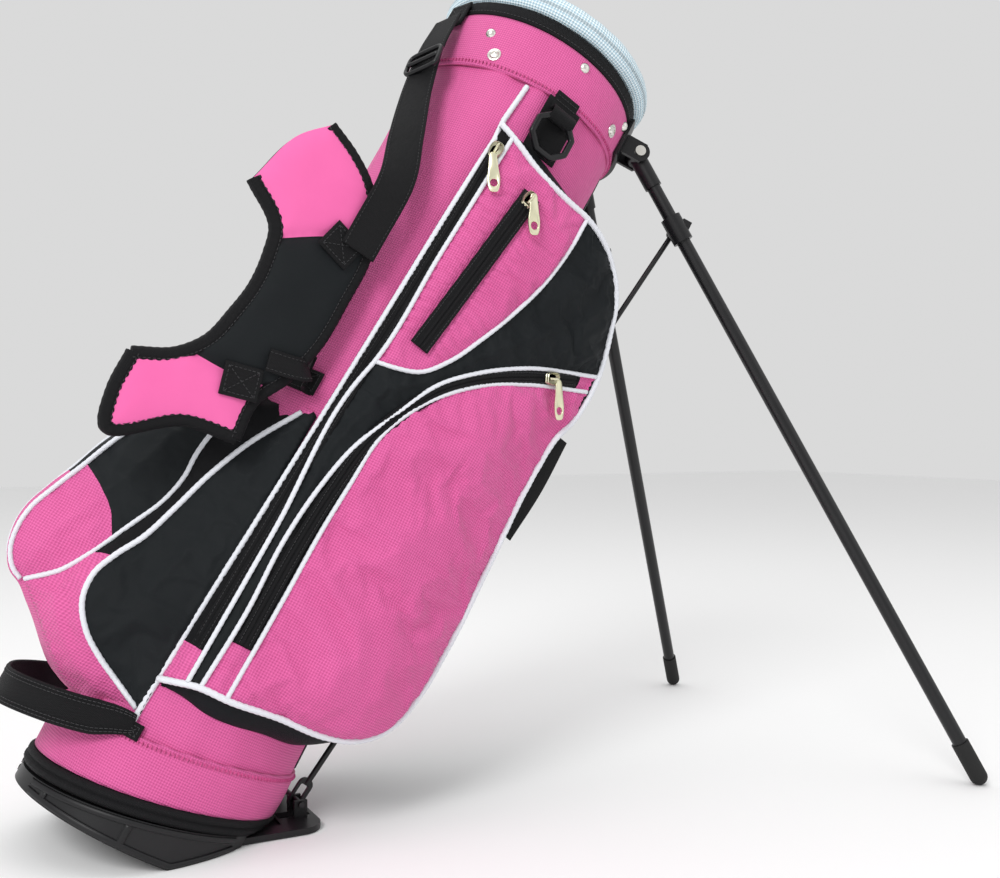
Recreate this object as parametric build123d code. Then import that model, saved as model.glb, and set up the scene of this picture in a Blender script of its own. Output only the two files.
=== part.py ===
from build123d import *
import os
from math import atan, cos, degrees, hypot, radians, sin

# Junior golf stand bag, legs deployed and leaning on its stand.
# Part frame: +Z up, ground at z = 0, +X towards the legs, -Y towards the side with the main pocket.
# Everything is first built upright in the bag frame (x front, y across, z along the tube) and
# then leaned forward onto the bevel under the base. Lengths are in millimetres.

# ---- driving dimensions ----
LEAN = 30.0                 # tilt of the tube from vertical when the legs are out
BEVEL_START = 10.0          # front of the flat bottom, where the bevel begins
ORIGIN_SHIFT = -20.0        # puts the part origin on the bevel's resting face
TUBE_R = 96.0               # outside of the fabric tube
TUBE_WALL = 2.5
TUBE_TOP = 756.0            # rim of the tube
SKIN = 0.2                  # gap between layers sewn over one another
CUFF_R = 98.6
TRIM_R = 99.6
BASE_R = 99.0
FLOOR = 5.0                 # thickness of the flat floor
BEVEL_FLOOR = 14.0          # thickness of the floor over the bevel, which houses the foot lever
BEVEL_RIM = 8.0             # height of the base's wall over the bevel

TOP_SEAM, TOP_SEAM_SLOPE = 695.0, 0.07
LOW_SEAM, LOW_SEAM_SLOPE = 82.0, 0.12
LOW_EDGE, LOW_EDGE_SLOPE = 43.0, 0.15
TRIM_WIDTH = 14.0

HINGE = (107.0, 49.0, 730.0)    # leg pivot: front, across (either side), along the tube
SPLAY = 20.07                   # yaw of each leg's folding plane
FOLD = 55.2                     # leg angle from stowed to deployed
LEG_R = 6.5
LEG_TUBE_START = 14.0
TIP_R = 8.0
TIP_LENGTH = 34.0
COLLAR_AT = 80.0                # collar's distance from the leg pivot
ROD_OFFSET = 14.0               # rod's distance inwards from the leg's folding plane
ROD_R = 2.5
PIN_R = 2.0
RUNNING = 0.08                  # radial clearance of pins in their holes

LEVER_HINGE = (26.8, 6.2)       # part frame x, z of the foot lever's pin
LEVER_WIDTH = 150.0
LEVER_LENGTH = 93.0
LEVER_BAR = (107.6, 16.0)       # part frame x, z of the cross bar that the rods ride on

POCKET_PROFILE = [(-62, 75), (-47, 98), (-28, 106), (0, 112), (60, 110), (159, 86.5), (159, 82.5),
                  (84, 54.6)]   # front, across: section through the side pocket
POCKET_OUTLINE = [(-66, 119), (-10, 127), (60, 132), (104, 146), (130, 174), (138, 240), (139, 360),
                  (145, 440), (156, 505), (148, 550), (124, 592), (92, 614), (30, 620), (-20, 632),
                  (-47, 640)]   # front, along: side view of the side pocket
BALL_PROFILE = [(-63, 80), (-138, 60), (-181, 45), (-196, 18), (-196, -18), (-181, -45), (-138, -60),
                (-63, -80)]     # front, across: section through the ball pocket
BALL_OUTLINE = [(-63, 88), (-100, 87), (-126, 95), (-150, 111), (-173, 134), (-190, 148), (-196, 172),
                (-192, 205), (-183, 243), (-168, 277), (-148, 312), (-124, 344), (-97, 362), (-63, 350)]
LEG_STRAP_OUTLINE = [(139.4, 350), (145.2, 441), (156, 446), (151, 348)]
TAPE = 1.4                      # zip tape thickness
MAIN_TAPE_WIDTH = 14.0
UPPER_TAPE_WIDTH = 16.0
CURVED_TAPE_WIDTH = 15.0
SLIDER = (11.0, 16.0, 4.2)      # zip slider: width, length, thickness
PULL = (10.5, 36.0, 1.6)        # zip pull: width, length, thickness
PULL_HOLE_R = 3.6
EYE_R = 1.25                    # eye at the pull's end, on a pin between two ears of the slider
EYE_PIN_R = 0.6
EYE_WIDTH = 5.0
EYE_HEIGHT = 1.6                # height of the pin above the slider
EAR = (2.4, 1.3)                # ear: size along the pull and thickness
WEBBING = 2.4
PAD_V = (78.0, 93.0)            # inner and outer face of the shoulder pad


# ---- placing and writing ----
def lean(shape):
    """Bag frame to part frame."""
    lift = BEVEL_START * sin(radians(LEAN))
    return Pos(ORIGIN_SHIFT, 0, lift) * Rot(0, LEAN, 0) * shape


def save(name, shape):
    """Write one node; shape is already in the part frame."""
    solids = shape.solids()
    whole = solids[0] if len(solids) == 1 else Compound(children=list(solids))
    export_step(whole, os.path.join("parts", name + ".step"))


def put(name, shape):
    save(name, lean(shape))


def mirrored(shape):
    return mirror(shape, about=Plane.XZ)


# ---- building blocks, all in the bag frame ----
def ring(r_in, r_out, z0, z1):
    tall = Pos(0, 0, (z0 + z1) / 2)
    return tall * Cylinder(r_out, z1 - z0) - tall * Cylinder(r_in, z1 - z0 + 2)


def above(z, slope, size=700):
    return Pos(0, 0, z) * Rot(0, -degrees(atan(slope)), 0) * Pos(0, 0, size / 2) * Box(size, size, size)


def below_ground(gap=0.0, size=700):
    """Everything under the plane that the bevel rests on, raised by gap."""
    return Pos(BEVEL_START, 0, 0) * Rot(0, -LEAN, 0) * Pos(0, 0, gap - size / 2) * Box(size, size, size)


def band(r_in, r_out, low, high):
    """Ring between two slanted cuts, each given as (height on the axis, slope)."""
    tall = ring(r_in, r_out, -30, 800)
    return (tall & above(*low)) - above(*high)


def sector(a0, a1, radius=220, height=1000):
    """Wedge of the tube between two angles from the front, at most 170 degrees apart."""
    mid = (a0 + a1) / 2
    corners = [(0, 0)]
    for a in (a0, (a0 + mid) / 2, mid, (a1 + mid) / 2, a1):
        corners.append((radius * cos(radians(a)), -radius * sin(radians(a))))
    return extrude(make_face(Polyline(*corners, close=True)), amount=height)


def on_tube(angle, z, radius):
    """Location on the tube at an angle from the front, with z outwards and y along the tube."""
    a = radians(angle)
    outward = Vector(cos(a), -sin(a), 0)
    return Location(Plane(origin=(radius * cos(a), -radius * sin(a), z),
                          x_dir=Vector(0, 0, 1).cross(outward), z_dir=outward))


def strip(p0, p1, normal, width, thick, extra=0.0):
    """Flat bar from p0 to p1, its face along normal."""
    a, b = Vector(*p0), Vector(*p1)
    along = b - a
    frame = Plane(origin=(a + b) * 0.5, x_dir=along, z_dir=along.cross(Vector(*normal).cross(along)))
    return Location(frame) * Box(along.length + extra, width, thick)


def ribbon(points, normals, width, thick):
    """Webbing through a list of points, one normal for each run."""
    runs = [strip(a, b, n, width, thick, thick) for a, b, n in zip(points, points[1:], normals)]
    whole = runs[0]
    for run in runs[1:]:
        whole += run
    return whole


def rod_between(p0, p1, radius):
    a, b = Vector(*p0), Vector(*p1)
    return Location(Plane(origin=(a + b) * 0.5, z_dir=b - a)) * Cylinder(radius, (b - a).length)


def prism_across(points):
    """Side view outline (front, along) swept right across the bag on the near side."""
    face = make_face(Polyline(*[(x, 0, z) for x, z in points], close=True))
    return extrude(face, amount=260, dir=(0, -1, 0))


def prism_along(points, z0, z1):
    """Section (front, across) swept along the tube; across is measured towards -Y."""
    face = make_face(Polyline(*[(x, -v, z0) for x, v in points], close=True))
    return extrude(face, amount=z1 - z0, dir=(0, 0, 1))


def outward_of(points, amount):
    """The section moved outwards by amount on its outer facets."""
    return [(x + amount * x / hypot(x, v), v + amount * v / hypot(x, v)) for x, v in points]


def bag_vector(point):
    """Point given as (front, across towards -Y, along) in build coordinates."""
    return (point[0], -point[1], point[2])


# ---- tube, cuffs and base ----
def make_tube():
    tube = ring(TUBE_R - TUBE_WALL, TUBE_R, 0, TUBE_TOP) & above(LOW_EDGE - TRIM_WIDTH + 0.4, 0.17)
    put("bag_tube", tube - below_ground(BEVEL_FLOOR + 0.3))
    inner = TUBE_R + SKIN
    put("top_cuff", band(inner, CUFF_R, (TOP_SEAM, TOP_SEAM_SLOPE), (TUBE_TOP - 13, 0)))
    put("cuff_binding", ring(inner, TRIM_R + 0.4, TUBE_TOP - 12.8, TUBE_TOP + 1.5))
    low_cuff = band(inner, CUFF_R, (LOW_EDGE, LOW_EDGE_SLOPE), (LOW_SEAM, LOW_SEAM_SLOPE))
    put("bottom_cuff", low_cuff - below_ground(BEVEL_RIM + 0.4))
    trim = band(inner, TRIM_R, (LOW_EDGE - TRIM_WIDTH, 0.17), (LOW_EDGE - 0.2, LOW_EDGE_SLOPE))
    put("base_trim", trim - below_ground(BEVEL_RIM + 0.4))
    panel = ring(inner, inner + 1.2, 96, 690) & sector(-29, 29)
    put("front_panel", panel)


def make_collar():
    """Padded mesh roll on the rim and the moulded divider inside it."""
    profile = Polyline((92, 0, TUBE_TOP + 1.7), (101, 0, TUBE_TOP + 1.7), (104.5, 0, TUBE_TOP + 8),
                       (104, 0, TUBE_TOP + 16), (99, 0, TUBE_TOP + 22), (93.5, 0, TUBE_TOP + 21),
                       (90.5, 0, TUBE_TOP + 12), close=True)
    put("mesh_collar", revolve(make_face(profile), axis=Axis.Z, revolution_arc=360))
    rim = ring(82, 89.8, TUBE_TOP - 8, TUBE_TOP + 16)
    bar = Pos(0, 0, TUBE_TOP + 4) * Box(6, 166, 22)
    put("top_divider", rim + (bar & ring(0.5, 84, 700, 800)) + Pos(0, 0, TUBE_TOP + 4) * Cylinder(9, 22))


def make_stays():
    """Three flat stiffeners inside the tube, from the floor to the rim."""
    stays = []
    for angle, low in ((180, 8.0), (45, 62.0), (-45, 62.0)):
        top = TUBE_TOP - 12
        at = on_tube(angle, (low + top) / 2, TUBE_R - TUBE_WALL - 3.4)
        stays.append(at * Box(16, top - low, 2.5))
    put("spine_stays", Compound(children=stays))


def make_base():
    over_trim = above(LOW_EDGE - TRIM_WIDTH - 0.2, 0.17) - below_ground(BEVEL_RIM)
    wall = Pos(0, 0, 60) * Cylinder(BASE_R, 120) - over_trim
    inside_r = TUBE_R - TUBE_WALL - 0.3
    plug = Pos(0, 0, 60) * Cylinder(inside_r, 120)
    cavity = plug - Pos(0, 0, FLOOR - 250) * Box(500, 500, 500) - below_ground(BEVEL_FLOOR)
    cup = lean((wall + plug) - cavity - below_ground())
    hinge_x, hinge_z = LEVER_HINGE
    clear = LEVER_WIDTH / 2 + 1.5
    recess = Pos(hinge_x - 7 + 100, 0, 0) * Box(200, 2 * clear, 2 * 7.6)
    barrel = Pos(hinge_x, 0, hinge_z) * Rot(90, 0, 0) * Cylinder(5.8, 2 * clear)
    pin = Pos(hinge_x, 0, hinge_z) * Rot(90, 0, 0) * Cylinder(PIN_R, 2 * clear + 14)
    save("base_cup", cup - recess - barrel - pin)
    save("lever_pin", pin)


# ---- stand: bracket, legs, rods and foot lever ----
def leg_axes(side):
    """Fold axis and the level direction of a leg's plane; side is -1 near, +1 far."""
    a = radians(SPLAY)
    level = Vector(cos(a), side * sin(a), 0)
    axis = Vector(-sin(a), side * cos(a), 0)
    return axis, level


def leg_point(side, along, offset, fold=FOLD):
    """Point on a leg at a distance from its pivot, moved by offset along the fold axis."""
    axis, level = leg_axes(side)
    start = Vector(HINGE[0], side * HINGE[1], HINGE[2])
    direction = level * sin(radians(fold)) - Vector(0, 0, 1) * cos(radians(fold))
    return start + direction * along + axis * offset


def about_axis(side, along, offset, radius, length, fold=FOLD):
    """Cylinder along the fold axis of a leg."""
    axis, _ = leg_axes(side)
    centre = leg_point(side, along, offset, fold)
    return Location(Plane(origin=centre, z_dir=axis)) * Cylinder(radius, length)


def along_leg(side, start, end, radius):
    a, b = leg_point(side, start, 0), leg_point(side, end, 0)
    return rod_between(a, b, radius)


def foot_distance():
    """Distance from the pivot to the centre of the round foot, which stands on the ground."""
    down = sin(radians(LEAN)) * cos(radians(SPLAY)) * sin(radians(FOLD))
    down += cos(radians(LEAN)) * cos(radians(FOLD))
    lift = BEVEL_START * sin(radians(LEAN))
    height = lift - HINGE[0] * sin(radians(LEAN)) + HINGE[2] * cos(radians(LEAN))
    return (height - TIP_R) / down


def make_bracket():
    bracket = ring(TRIM_R + 0.6, TRIM_R + 4.4, HINGE[2] - 20, HINGE[2] + 20) & sector(-38, 38)
    screws = []
    for side in (-1, 1):
        axis, level = leg_axes(side)
        pivot = leg_point(side, 0, 0)
        for offset in (-10.6, 10.6):
            plate = Plane(origin=pivot + axis * offset - level * 6, x_dir=level, z_dir=axis)
            bracket += Location(plate) * Box(20, 19, 3.6)
            bracket += about_axis(side, 0, offset, 9.5, 3.6)
        bracket -= about_axis(side, 0, 0, 10.5, 17.4)
        shaft = about_axis(side, 0, 0, 3.0, 24.8)
        bracket -= shaft
        head = about_axis(side, 0, 13.5, 5.0, 2.2)
        screws.append(shaft + head)
    put("leg_bracket", bracket - Pos(0, 0, HINGE[2]) * Cylinder(TRIM_R + 0.6, 80))
    put("pivot_screws", Compound(children=[s.solid() for s in screws]))


def make_leg(side, name):
    hub = about_axis(side, 0, 0, 8.6, 16.4) + along_leg(side, 0, 34, 8.2)
    hub -= along_leg(side, LEG_TUBE_START, 40, LEG_R)
    hub -= about_axis(side, 0, 0, 3.0 + RUNNING, 30)
    put("leg_hub_" + name, hub)
    foot = foot_distance()
    tube = along_leg(side, LEG_TUBE_START, foot - 10, LEG_R)
    put("leg_tube_" + name, tube - along_leg(side, LEG_TUBE_START - 2, foot - 8, LEG_R - 1.2))
    tip = along_leg(side, foot - TIP_LENGTH, foot, TIP_R) + Pos(*leg_point(side, foot, 0)) * Sphere(TIP_R)
    put("leg_tip_" + name, tip - along_leg(side, foot - TIP_LENGTH - 2, foot - 10, LEG_R))
    collar = along_leg(side, COLLAR_AT - 13, COLLAR_AT + 13, 9.6)
    collar += about_axis(side, COLLAR_AT, -8.2, 5.0, 6.0)
    axis, level = leg_axes(side)
    lug = leg_point(side, COLLAR_AT, 0) + level * (9.0 * cos(radians(FOLD))) \
        + Vector(0, 0, 1) * (9.0 * sin(radians(FOLD)))
    collar += Location(Plane(origin=lug, x_dir=axis, z_dir=Vector(0, 0, 1))) * Box(8, 9, 9)
    pin = about_axis(side, COLLAR_AT, -13.4, PIN_R, 8.8) + about_axis(side, COLLAR_AT, -17.7, 4.0, 1.6)
    collar -= along_leg(side, COLLAR_AT - 20, COLLAR_AT + 20, LEG_R)
    put("leg_collar_" + name, collar - pin)
    put("rod_pin_" + name, pin)


def lever_bar_in_bag():
    """Cross bar of the lever as (front, along) in the bag frame."""
    x = LEVER_BAR[0] - ORIGIN_SHIFT
    z = LEVER_BAR[1] - BEVEL_START * sin(radians(LEAN))
    t = radians(LEAN)
    return x * cos(t) - z * sin(t), x * sin(t) + z * cos(t)


def make_rod(side, name):
    """Push rod: an eye on the collar's pin and a slotted eye on the lever's cross bar."""
    axis, level = leg_axes(side)
    top = leg_point(side, COLLAR_AT, -ROD_OFFSET)
    front, along = lever_bar_in_bag()
    reach = (front - top.X) / level.X
    bottom = Vector(front, top.Y + level.Y * reach, along)
    down = (bottom - top).normalized()
    eye = Location(Plane(origin=top, z_dir=axis)) * Cylinder(5.4, 3.2)
    shank = rod_between(top + down * 4, bottom - down * 15, ROD_R)
    flat = Location(Plane(origin=bottom, x_dir=down, z_dir=Vector(0, 1, 0)))
    blade = flat * Pos(-6, 0.5, 0) * extrude(SlotOverall(28, 13), amount=1.6, both=True)
    slot = flat * Pos(-5.2, 1.0, 0) * extrude(RectangleRounded(17.2, 7.2, 1.5), amount=4, both=True)
    hole = Location(Plane(origin=top, z_dir=axis)) * Cylinder(PIN_R + RUNNING, 10)
    put("push_rod_" + name, eye + shank + blade - slot - hole)


def make_lever():
    hx, hz = LEVER_HINGE
    bx, bz = LEVER_BAR
    plate = Pos(hx + LEVER_LENGTH / 2, 0, 3.3) * Box(LEVER_LENGTH, LEVER_WIDTH, 5.0)
    plate = fillet(plate.edges().filter_by(Axis.Z).group_by(Axis.X)[-1], 18)
    lever = plate + Pos(hx, 0, hz) * Rot(90, 0, 0) * Cylinder(5.0, LEVER_WIDTH)
    for x in (hx + 24, hx + 52):
        for y in (-42, 0, 42):
            lever -= Pos(x, y, 7) * Box(18, 30, 6)
    for side in (-1, 1):
        lever -= Pos(103.2, side * 36.25, 3) * Box(26.5, 14.5, 12)
        for across in (27.5, 45.0):
            lever += Pos(bx, side * across, 11.5) * Box(11, 3, 15)
    bar = Pos(bx, 0, bz) * Rot(90, 0, 0) * Cylinder(2.3, 98)
    cut = Pos(hx, 0, hz) * Rot(90, 0, 0) * Cylinder(PIN_R + RUNNING, LEVER_WIDTH + 10)
    save("foot_lever", lever - cut - bar)
    save("lever_bar", bar)


# ---- pockets and zips ----
def pocket_body():
    section = prism_along(POCKET_PROFILE, 100, 660)
    side_view = prism_across(POCKET_OUTLINE)
    return (section & side_view) - Pos(0, 0, 380) * Cylinder(TUBE_R + SKIN + 1.3, 700)


def pocket_skin(outline):
    """Tape lying on the side pocket's outer facets, cut to an outline in side view."""
    outer = prism_along(outward_of(POCKET_PROFILE, TAPE), 100, 660)
    inner = prism_along(POCKET_PROFILE, 90, 670)
    return (outer - inner) & prism_across(outline)


def tape_outline(points, width):
    """Outline of a strip along a centre line given in side view."""
    left, right = [], []
    for i, (x, z) in enumerate(points):
        x0, z0 = points[max(i - 1, 0)]
        x1, z1 = points[min(i + 1, len(points) - 1)]
        length = hypot(x1 - x0, z1 - z0)
        nx, nz = -(z1 - z0) / length * width / 2, (x1 - x0) / length * width / 2
        left.append((x + nx, z + nz))
        right.append((x - nx, z - nz))
    return left + right[::-1]


# each zip on the side pocket: centre line in side view, from the closed end
ZIP_MAIN = [(-35.5, 612), (-38.5, 515), (-42.5, 360), (-46.0, 150)]
ZIP_UPPER = [(6, 600), (-15, 438)]
ZIP_CURVED = [(128, 496), (62, 449), (30, 425), (5, 386), (-12, 330), (-20, 270), (-22, 160)]


def facet(front):
    """Surface point (front, across) and outward normal of the side pocket's facet, build axes."""
    for (x0, v0), (x1, v1) in zip(POCKET_PROFILE[:5], POCKET_PROFILE[1:6]):
        if x0 <= front <= x1:
            across = v0 + (v1 - v0) * (front - x0) / (x1 - x0)
            return (front, -across), Vector(v0 - v1, x0 - x1, 0).normalized()


def slider_and_pull(name, start, end, lift=0.4):
    """Zip slider that rides above its tape from start towards end, and its hanging pull."""
    width, length, thick = SLIDER
    place, outward = facet(start[0])
    end_place, _ = facet(end[0])
    a = Vector(*place, start[1])
    along = (Vector(*end_place, end[1]) - a).normalized()
    normal = (outward - along * outward.dot(along)).normalized()
    centre = a + normal * (TAPE + lift + thick / 2)
    body = Location(Plane(origin=centre, x_dir=along, z_dir=normal)) * Box(length, width, thick)
    gravity = Vector(sin(radians(LEAN)), 0, -cos(radians(LEAN)))
    hang = (gravity - normal * gravity.dot(normal)).normalized()
    hinge = Location(Plane(origin=centre + normal * (thick / 2 + EYE_HEIGHT), x_dir=hang, z_dir=normal))
    ear_at = EYE_WIDTH / 2 + 0.3 + EAR[1] / 2
    ear_height = EYE_HEIGHT + EYE_R
    for side in (-1, 1):
        ear = Box(EAR[0], EAR[1], ear_height + 0.4)
        body += hinge * Pos(0, side * ear_at, ear_height / 2 - EYE_HEIGHT - 0.2) * ear
    body += hinge * Rot(90, 0, 0) * Cylinder(EYE_PIN_R, 2 * ear_at)
    neck = Pos(2.5, 0, 0) * Box(5.0, EYE_WIDTH - 0.4, PULL[2])
    plate = Pos(2.4 + (PULL[1] - 2.4) / 2, 0, 0) * Box(PULL[1] - 2.4, PULL[0], PULL[2])
    pull = Rot(90, 0, 0) * Cylinder(EYE_R, EYE_WIDTH) + neck + plate
    pull -= Rot(90, 0, 0) * Cylinder(EYE_PIN_R + RUNNING, EYE_WIDTH + 2)
    pull = hinge * (pull - Pos(PULL[1] - 7, 0, 0) * Cylinder(PULL_HOLE_R, 10))
    if name == "far":
        body, pull = mirrored(body), mirrored(pull)
    put("slider_" + name, body)
    put("pull_" + name, pull)


def make_side_pockets():
    body = pocket_body()
    put("side_pocket_near", body)
    put("side_pocket_far", mirrored(body))
    main_tape = pocket_skin(tape_outline(ZIP_MAIN, MAIN_TAPE_WIDTH))
    put("zip_tape_main", main_tape)
    put("zip_tape_far", mirrored(main_tape))
    put("zip_tape_upper", pocket_skin(tape_outline(ZIP_UPPER, UPPER_TAPE_WIDTH)))
    put("zip_tape_curved", pocket_skin(tape_outline(ZIP_CURVED, CURVED_TAPE_WIDTH)))

    slider_and_pull("main", ZIP_MAIN[0], ZIP_MAIN[3])
    slider_and_pull("far", ZIP_MAIN[0], ZIP_MAIN[3])
    slider_and_pull("upper", ZIP_UPPER[0], ZIP_UPPER[1], 2.4)
    slider_and_pull("curved", (110, 483), ZIP_CURVED[1])


def make_ball_pocket():
    section = prism_along(BALL_PROFILE, 70, 420)
    face = make_face(Polyline(*[(x, 130, z) for x, z in BALL_OUTLINE], close=True))
    side_view = extrude(face, amount=260, dir=(0, -1, 0))
    body = (section & side_view) - Pos(0, 0, 300) * Cylinder(TUBE_R + SKIN + 1.3, 700)
    put("ball_pocket", body)


def make_patches():
    """Webbing sewn flat on the bag: towel tab, leg strap, strap and handle anchors."""
    v = CUFF_R + 1.4
    tab = Pos(2, -v, 690) * Box(26, 2.4, 24)
    loop = Pos(2, -(v + 5.6), 678.2) * Rot(0, 90, 0) * (Cylinder(6.4, 10) - Cylinder(4.6, 30))
    put("towel_tab", tab + loop)
    flap = make_face(Polyline(*[(x, -79, z) for x, z in LEG_STRAP_OUTLINE], close=True))
    put("leg_strap", extrude(flap, amount=3, dir=(0, -1, 0)))
    top = on_tube(170, 745.5, TRIM_R + 2.2) * Box(32, 17, 3.0)
    low = on_tube(138, 374, TUBE_R + 3.1) * Box(18, 34, 3.0)
    low += strip((-72, -68, 374), (-74.5, -83, 377.5), (-1, -0.2, 0), 30, WEBBING)
    put("strap_anchors", Compound(children=[top.solid(), low.solid()]))
    patches = []
    for angle in (124, -124):
        patches.append((on_tube(angle, 72, CUFF_R + 1.7) * Box(14, 24, 2.4)).solid())
    put("handle_anchors", Compound(children=patches))


def make_hardware():
    rivets = [on_tube(a, z, CUFF_R + 1.2) * Cylinder(4.2, 1.8) for a, z in ((141, 724), (89, 735), (41, 736))]
    screws = [on_tube(a, z, CUFF_R + 1.5) * Cylinder(5.4, 2.4) for a, z in ((133, 704), (53, 716))]
    put("cuff_rivets", Compound(children=[r.solid() for r in rivets]))
    put("cuff_screws", Compound(children=[s.solid() for s in screws]))


# ---- loose soft goods ----
STRAP_TOP = (-108, 22, 728)     # (front, across, along) of the shoulder strap's two ends
STRAP_LOW = (-76, 88, 378)
PAD_OUTLINE = [(-156, 556), (-128, 546), (-110, 534), (-86, 506), (-80, 484), (-79, 440), (-80, 398),
               (-88, 362), (-103, 334), (-100, 306), (-140, 296), (-190, 262), (-198, 290), (-201, 318),
               (-170, 336), (-158, 356), (-151, 386), (-149, 410), (-152, 440), (-156, 456), (-190, 480),
               (-194, 492), (-176, 532)]


def make_strap():
    near, far = PAD_V
    face = make_face(Polyline(*[(x, -near, z) for x, z in PAD_OUTLINE], close=True))
    put("strap_pad", extrude(face, amount=far - near, dir=(0, -1, 0)))
    top = bag_vector(STRAP_TOP)
    knee = bag_vector((-106, 56, 640))
    fall = bag_vector((-92, 94.6, 560))
    end = bag_vector((-92, 94.6, 470))
    normals = [(-0.95, -0.3, 0), (-0.75, -0.66, 0), (0, -1, 0)]
    put("strap_webbing", ribbon([top, knee, fall, end], normals, 30, WEBBING))
    low_start = bag_vector((-112, 94.6, 367))
    low_knee = bag_vector((-77, 94.9, 377))
    put("strap_tail", ribbon([low_start, low_knee, bag_vector(STRAP_LOW)],
                             [(0, -1, 0), (-0.6, -0.6, 0)], 30, WEBBING))
    buckle = strip(bag_vector((-111, 41, 684)), bag_vector((-110.5, 49.5, 660)), normals[0], 40, 4.0)
    put("strap_triglide", buckle)


def make_handle():
    spots = [(-72, 73, 74), (-104, 64, 70), (-132, 42, 65), (-146, 16, 62)]
    near = [bag_vector(p) for p in spots]
    far = [(x, -y, z) for x, y, z in near[::-1]]
    points = near + far
    normals = []
    for a, b in zip(points, points[1:]):
        normals.append((b[1] - a[1], a[0] - b[0], 0.0))
    put("carry_handle", ribbon(points, normals, 26, WEBBING))


def make_towel_ring():
    outer = RegularPolygon(22.5, 8)
    inner = RegularPolygon(16.8, 8)
    flat = Location(Plane(origin=(2, -(CUFF_R + 7.0), 660), x_dir=(1, 0, 0), z_dir=(0, -1, 0)))
    put("towel_ring", flat * Rot(0, 0, 22.5) * extrude(outer - inner, amount=2.8, both=True))


make_tube()
make_collar()
make_stays()
make_base()
make_bracket()
for leg_side, leg_name in ((-1, "near"), (1, "far")):
    make_leg(leg_side, leg_name)
    make_rod(leg_side, leg_name)
make_lever()
make_side_pockets()
make_ball_pocket()
make_patches()
make_hardware()
make_strap()
make_handle()
make_towel_ring()
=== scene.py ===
import math
import bpy
import numpy as np
from mathutils import Matrix, Vector, noise
from mathutils.geometry import delaunay_2d_cdt


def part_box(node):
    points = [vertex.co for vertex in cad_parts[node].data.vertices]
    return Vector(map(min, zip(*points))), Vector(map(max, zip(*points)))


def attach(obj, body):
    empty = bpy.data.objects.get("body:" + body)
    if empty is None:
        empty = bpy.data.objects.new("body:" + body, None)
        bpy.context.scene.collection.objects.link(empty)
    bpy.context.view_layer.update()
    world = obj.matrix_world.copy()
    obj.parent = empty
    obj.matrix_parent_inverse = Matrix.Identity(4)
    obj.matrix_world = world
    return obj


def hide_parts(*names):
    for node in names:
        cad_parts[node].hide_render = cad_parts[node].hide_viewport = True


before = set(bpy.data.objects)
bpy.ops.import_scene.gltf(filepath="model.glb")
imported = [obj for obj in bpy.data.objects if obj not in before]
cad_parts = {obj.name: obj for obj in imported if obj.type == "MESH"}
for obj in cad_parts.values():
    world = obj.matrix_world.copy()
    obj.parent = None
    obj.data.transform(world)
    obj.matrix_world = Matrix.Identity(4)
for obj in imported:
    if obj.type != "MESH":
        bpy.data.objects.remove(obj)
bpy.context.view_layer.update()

# ---------------------------------------------------------------- frame of the bag
# Bag frame in millimetres: u towards the legs, v towards the near side, w along the tube.
MM = 0.001
LEAN = math.radians(30.0)    # tilt of the tube with the legs out
LIFT = 0.005                 # bag frame's origin above the ground and along x, in metres
SHIFT = -0.020
TUBE_R = 96.0
CUFF_R = 98.6
TUBE_TOP = 756.0
TUBE_END = 34.0              # lower end of the tube's cloth
TOP_SEAM = (695.0, 0.07)     # seams and edges round the tube: height on the axis, slope
LOW_SEAM = (82.0, 0.12)
LOW_EDGE = (43.0, 0.15)
TRIM_SLOPE = 0.17
BEVEL_START = 10.0           # u at which the base's bevel begins
CLOTH = 0.0012               # thickness of sewn cloth, in metres
ACROSS = np.array([0.0, 1.0, 0.0])
UP = np.array([0.0, 0.0, 1.0])


def to_world(points):
    """Bag frame millimetres to part frame metres, for an array of points."""
    p = np.asarray(points, float) * MM
    c, s = math.cos(LEAN), math.sin(LEAN)
    return np.stack([p[..., 0] * c + p[..., 2] * s + SHIFT, -p[..., 1],
                     -p[..., 0] * s + p[..., 2] * c + LIFT], -1)


def lean_back(v):
    """Part frame vectors to bag frame vectors, in the same unit."""
    c, s = math.cos(LEAN), math.sin(LEAN)
    return np.stack([v[..., 0] * c - v[..., 2] * s, -v[..., 1], v[..., 0] * s + v[..., 2] * c], -1)


def from_world(p):
    """Part frame metres to bag frame millimetres."""
    return lean_back((np.asarray(p, float) - (SHIFT, 0.0, LIFT)) / MM)


def length_along(line):
    """Distance travelled along a line at each of its points, from zero."""
    return np.concatenate([[0], np.cumsum(np.linalg.norm(np.diff(line, axis=0), axis=1))])


def unit(v):
    """Vectors scaled to length one, one by one."""
    return v / np.linalg.norm(v, axis=-1, keepdims=True)


# ---------------------------------------------------------------- materials
def new_material(name):
    """Empty material, its node tree and its shader."""
    mat = bpy.data.materials.new(name)
    mat.use_nodes = True
    return mat, mat.node_tree, mat.node_tree.nodes["Principled BSDF"]


def node(tree, kind, **settings):
    """New shader node; settings name its inputs or, failing that, its attributes."""
    n = tree.nodes.new(kind)
    for key, value in settings.items():
        if key in n.inputs:
            n.inputs[key].default_value = value
        else:
            setattr(n, key, value)
    return n


def math_node(tree, operation, a, b=None):
    """Output of a shader sum; a and b are numbers or other nodes' outputs."""
    n = tree.nodes.new("ShaderNodeMath")
    n.operation = operation
    for i, value in enumerate((a, b)):
        if value is None:
            continue
        if isinstance(value, (int, float)):
            n.inputs[i].default_value = value
        else:
            tree.links.new(value, n.inputs[i])
    return n.outputs[0]


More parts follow.
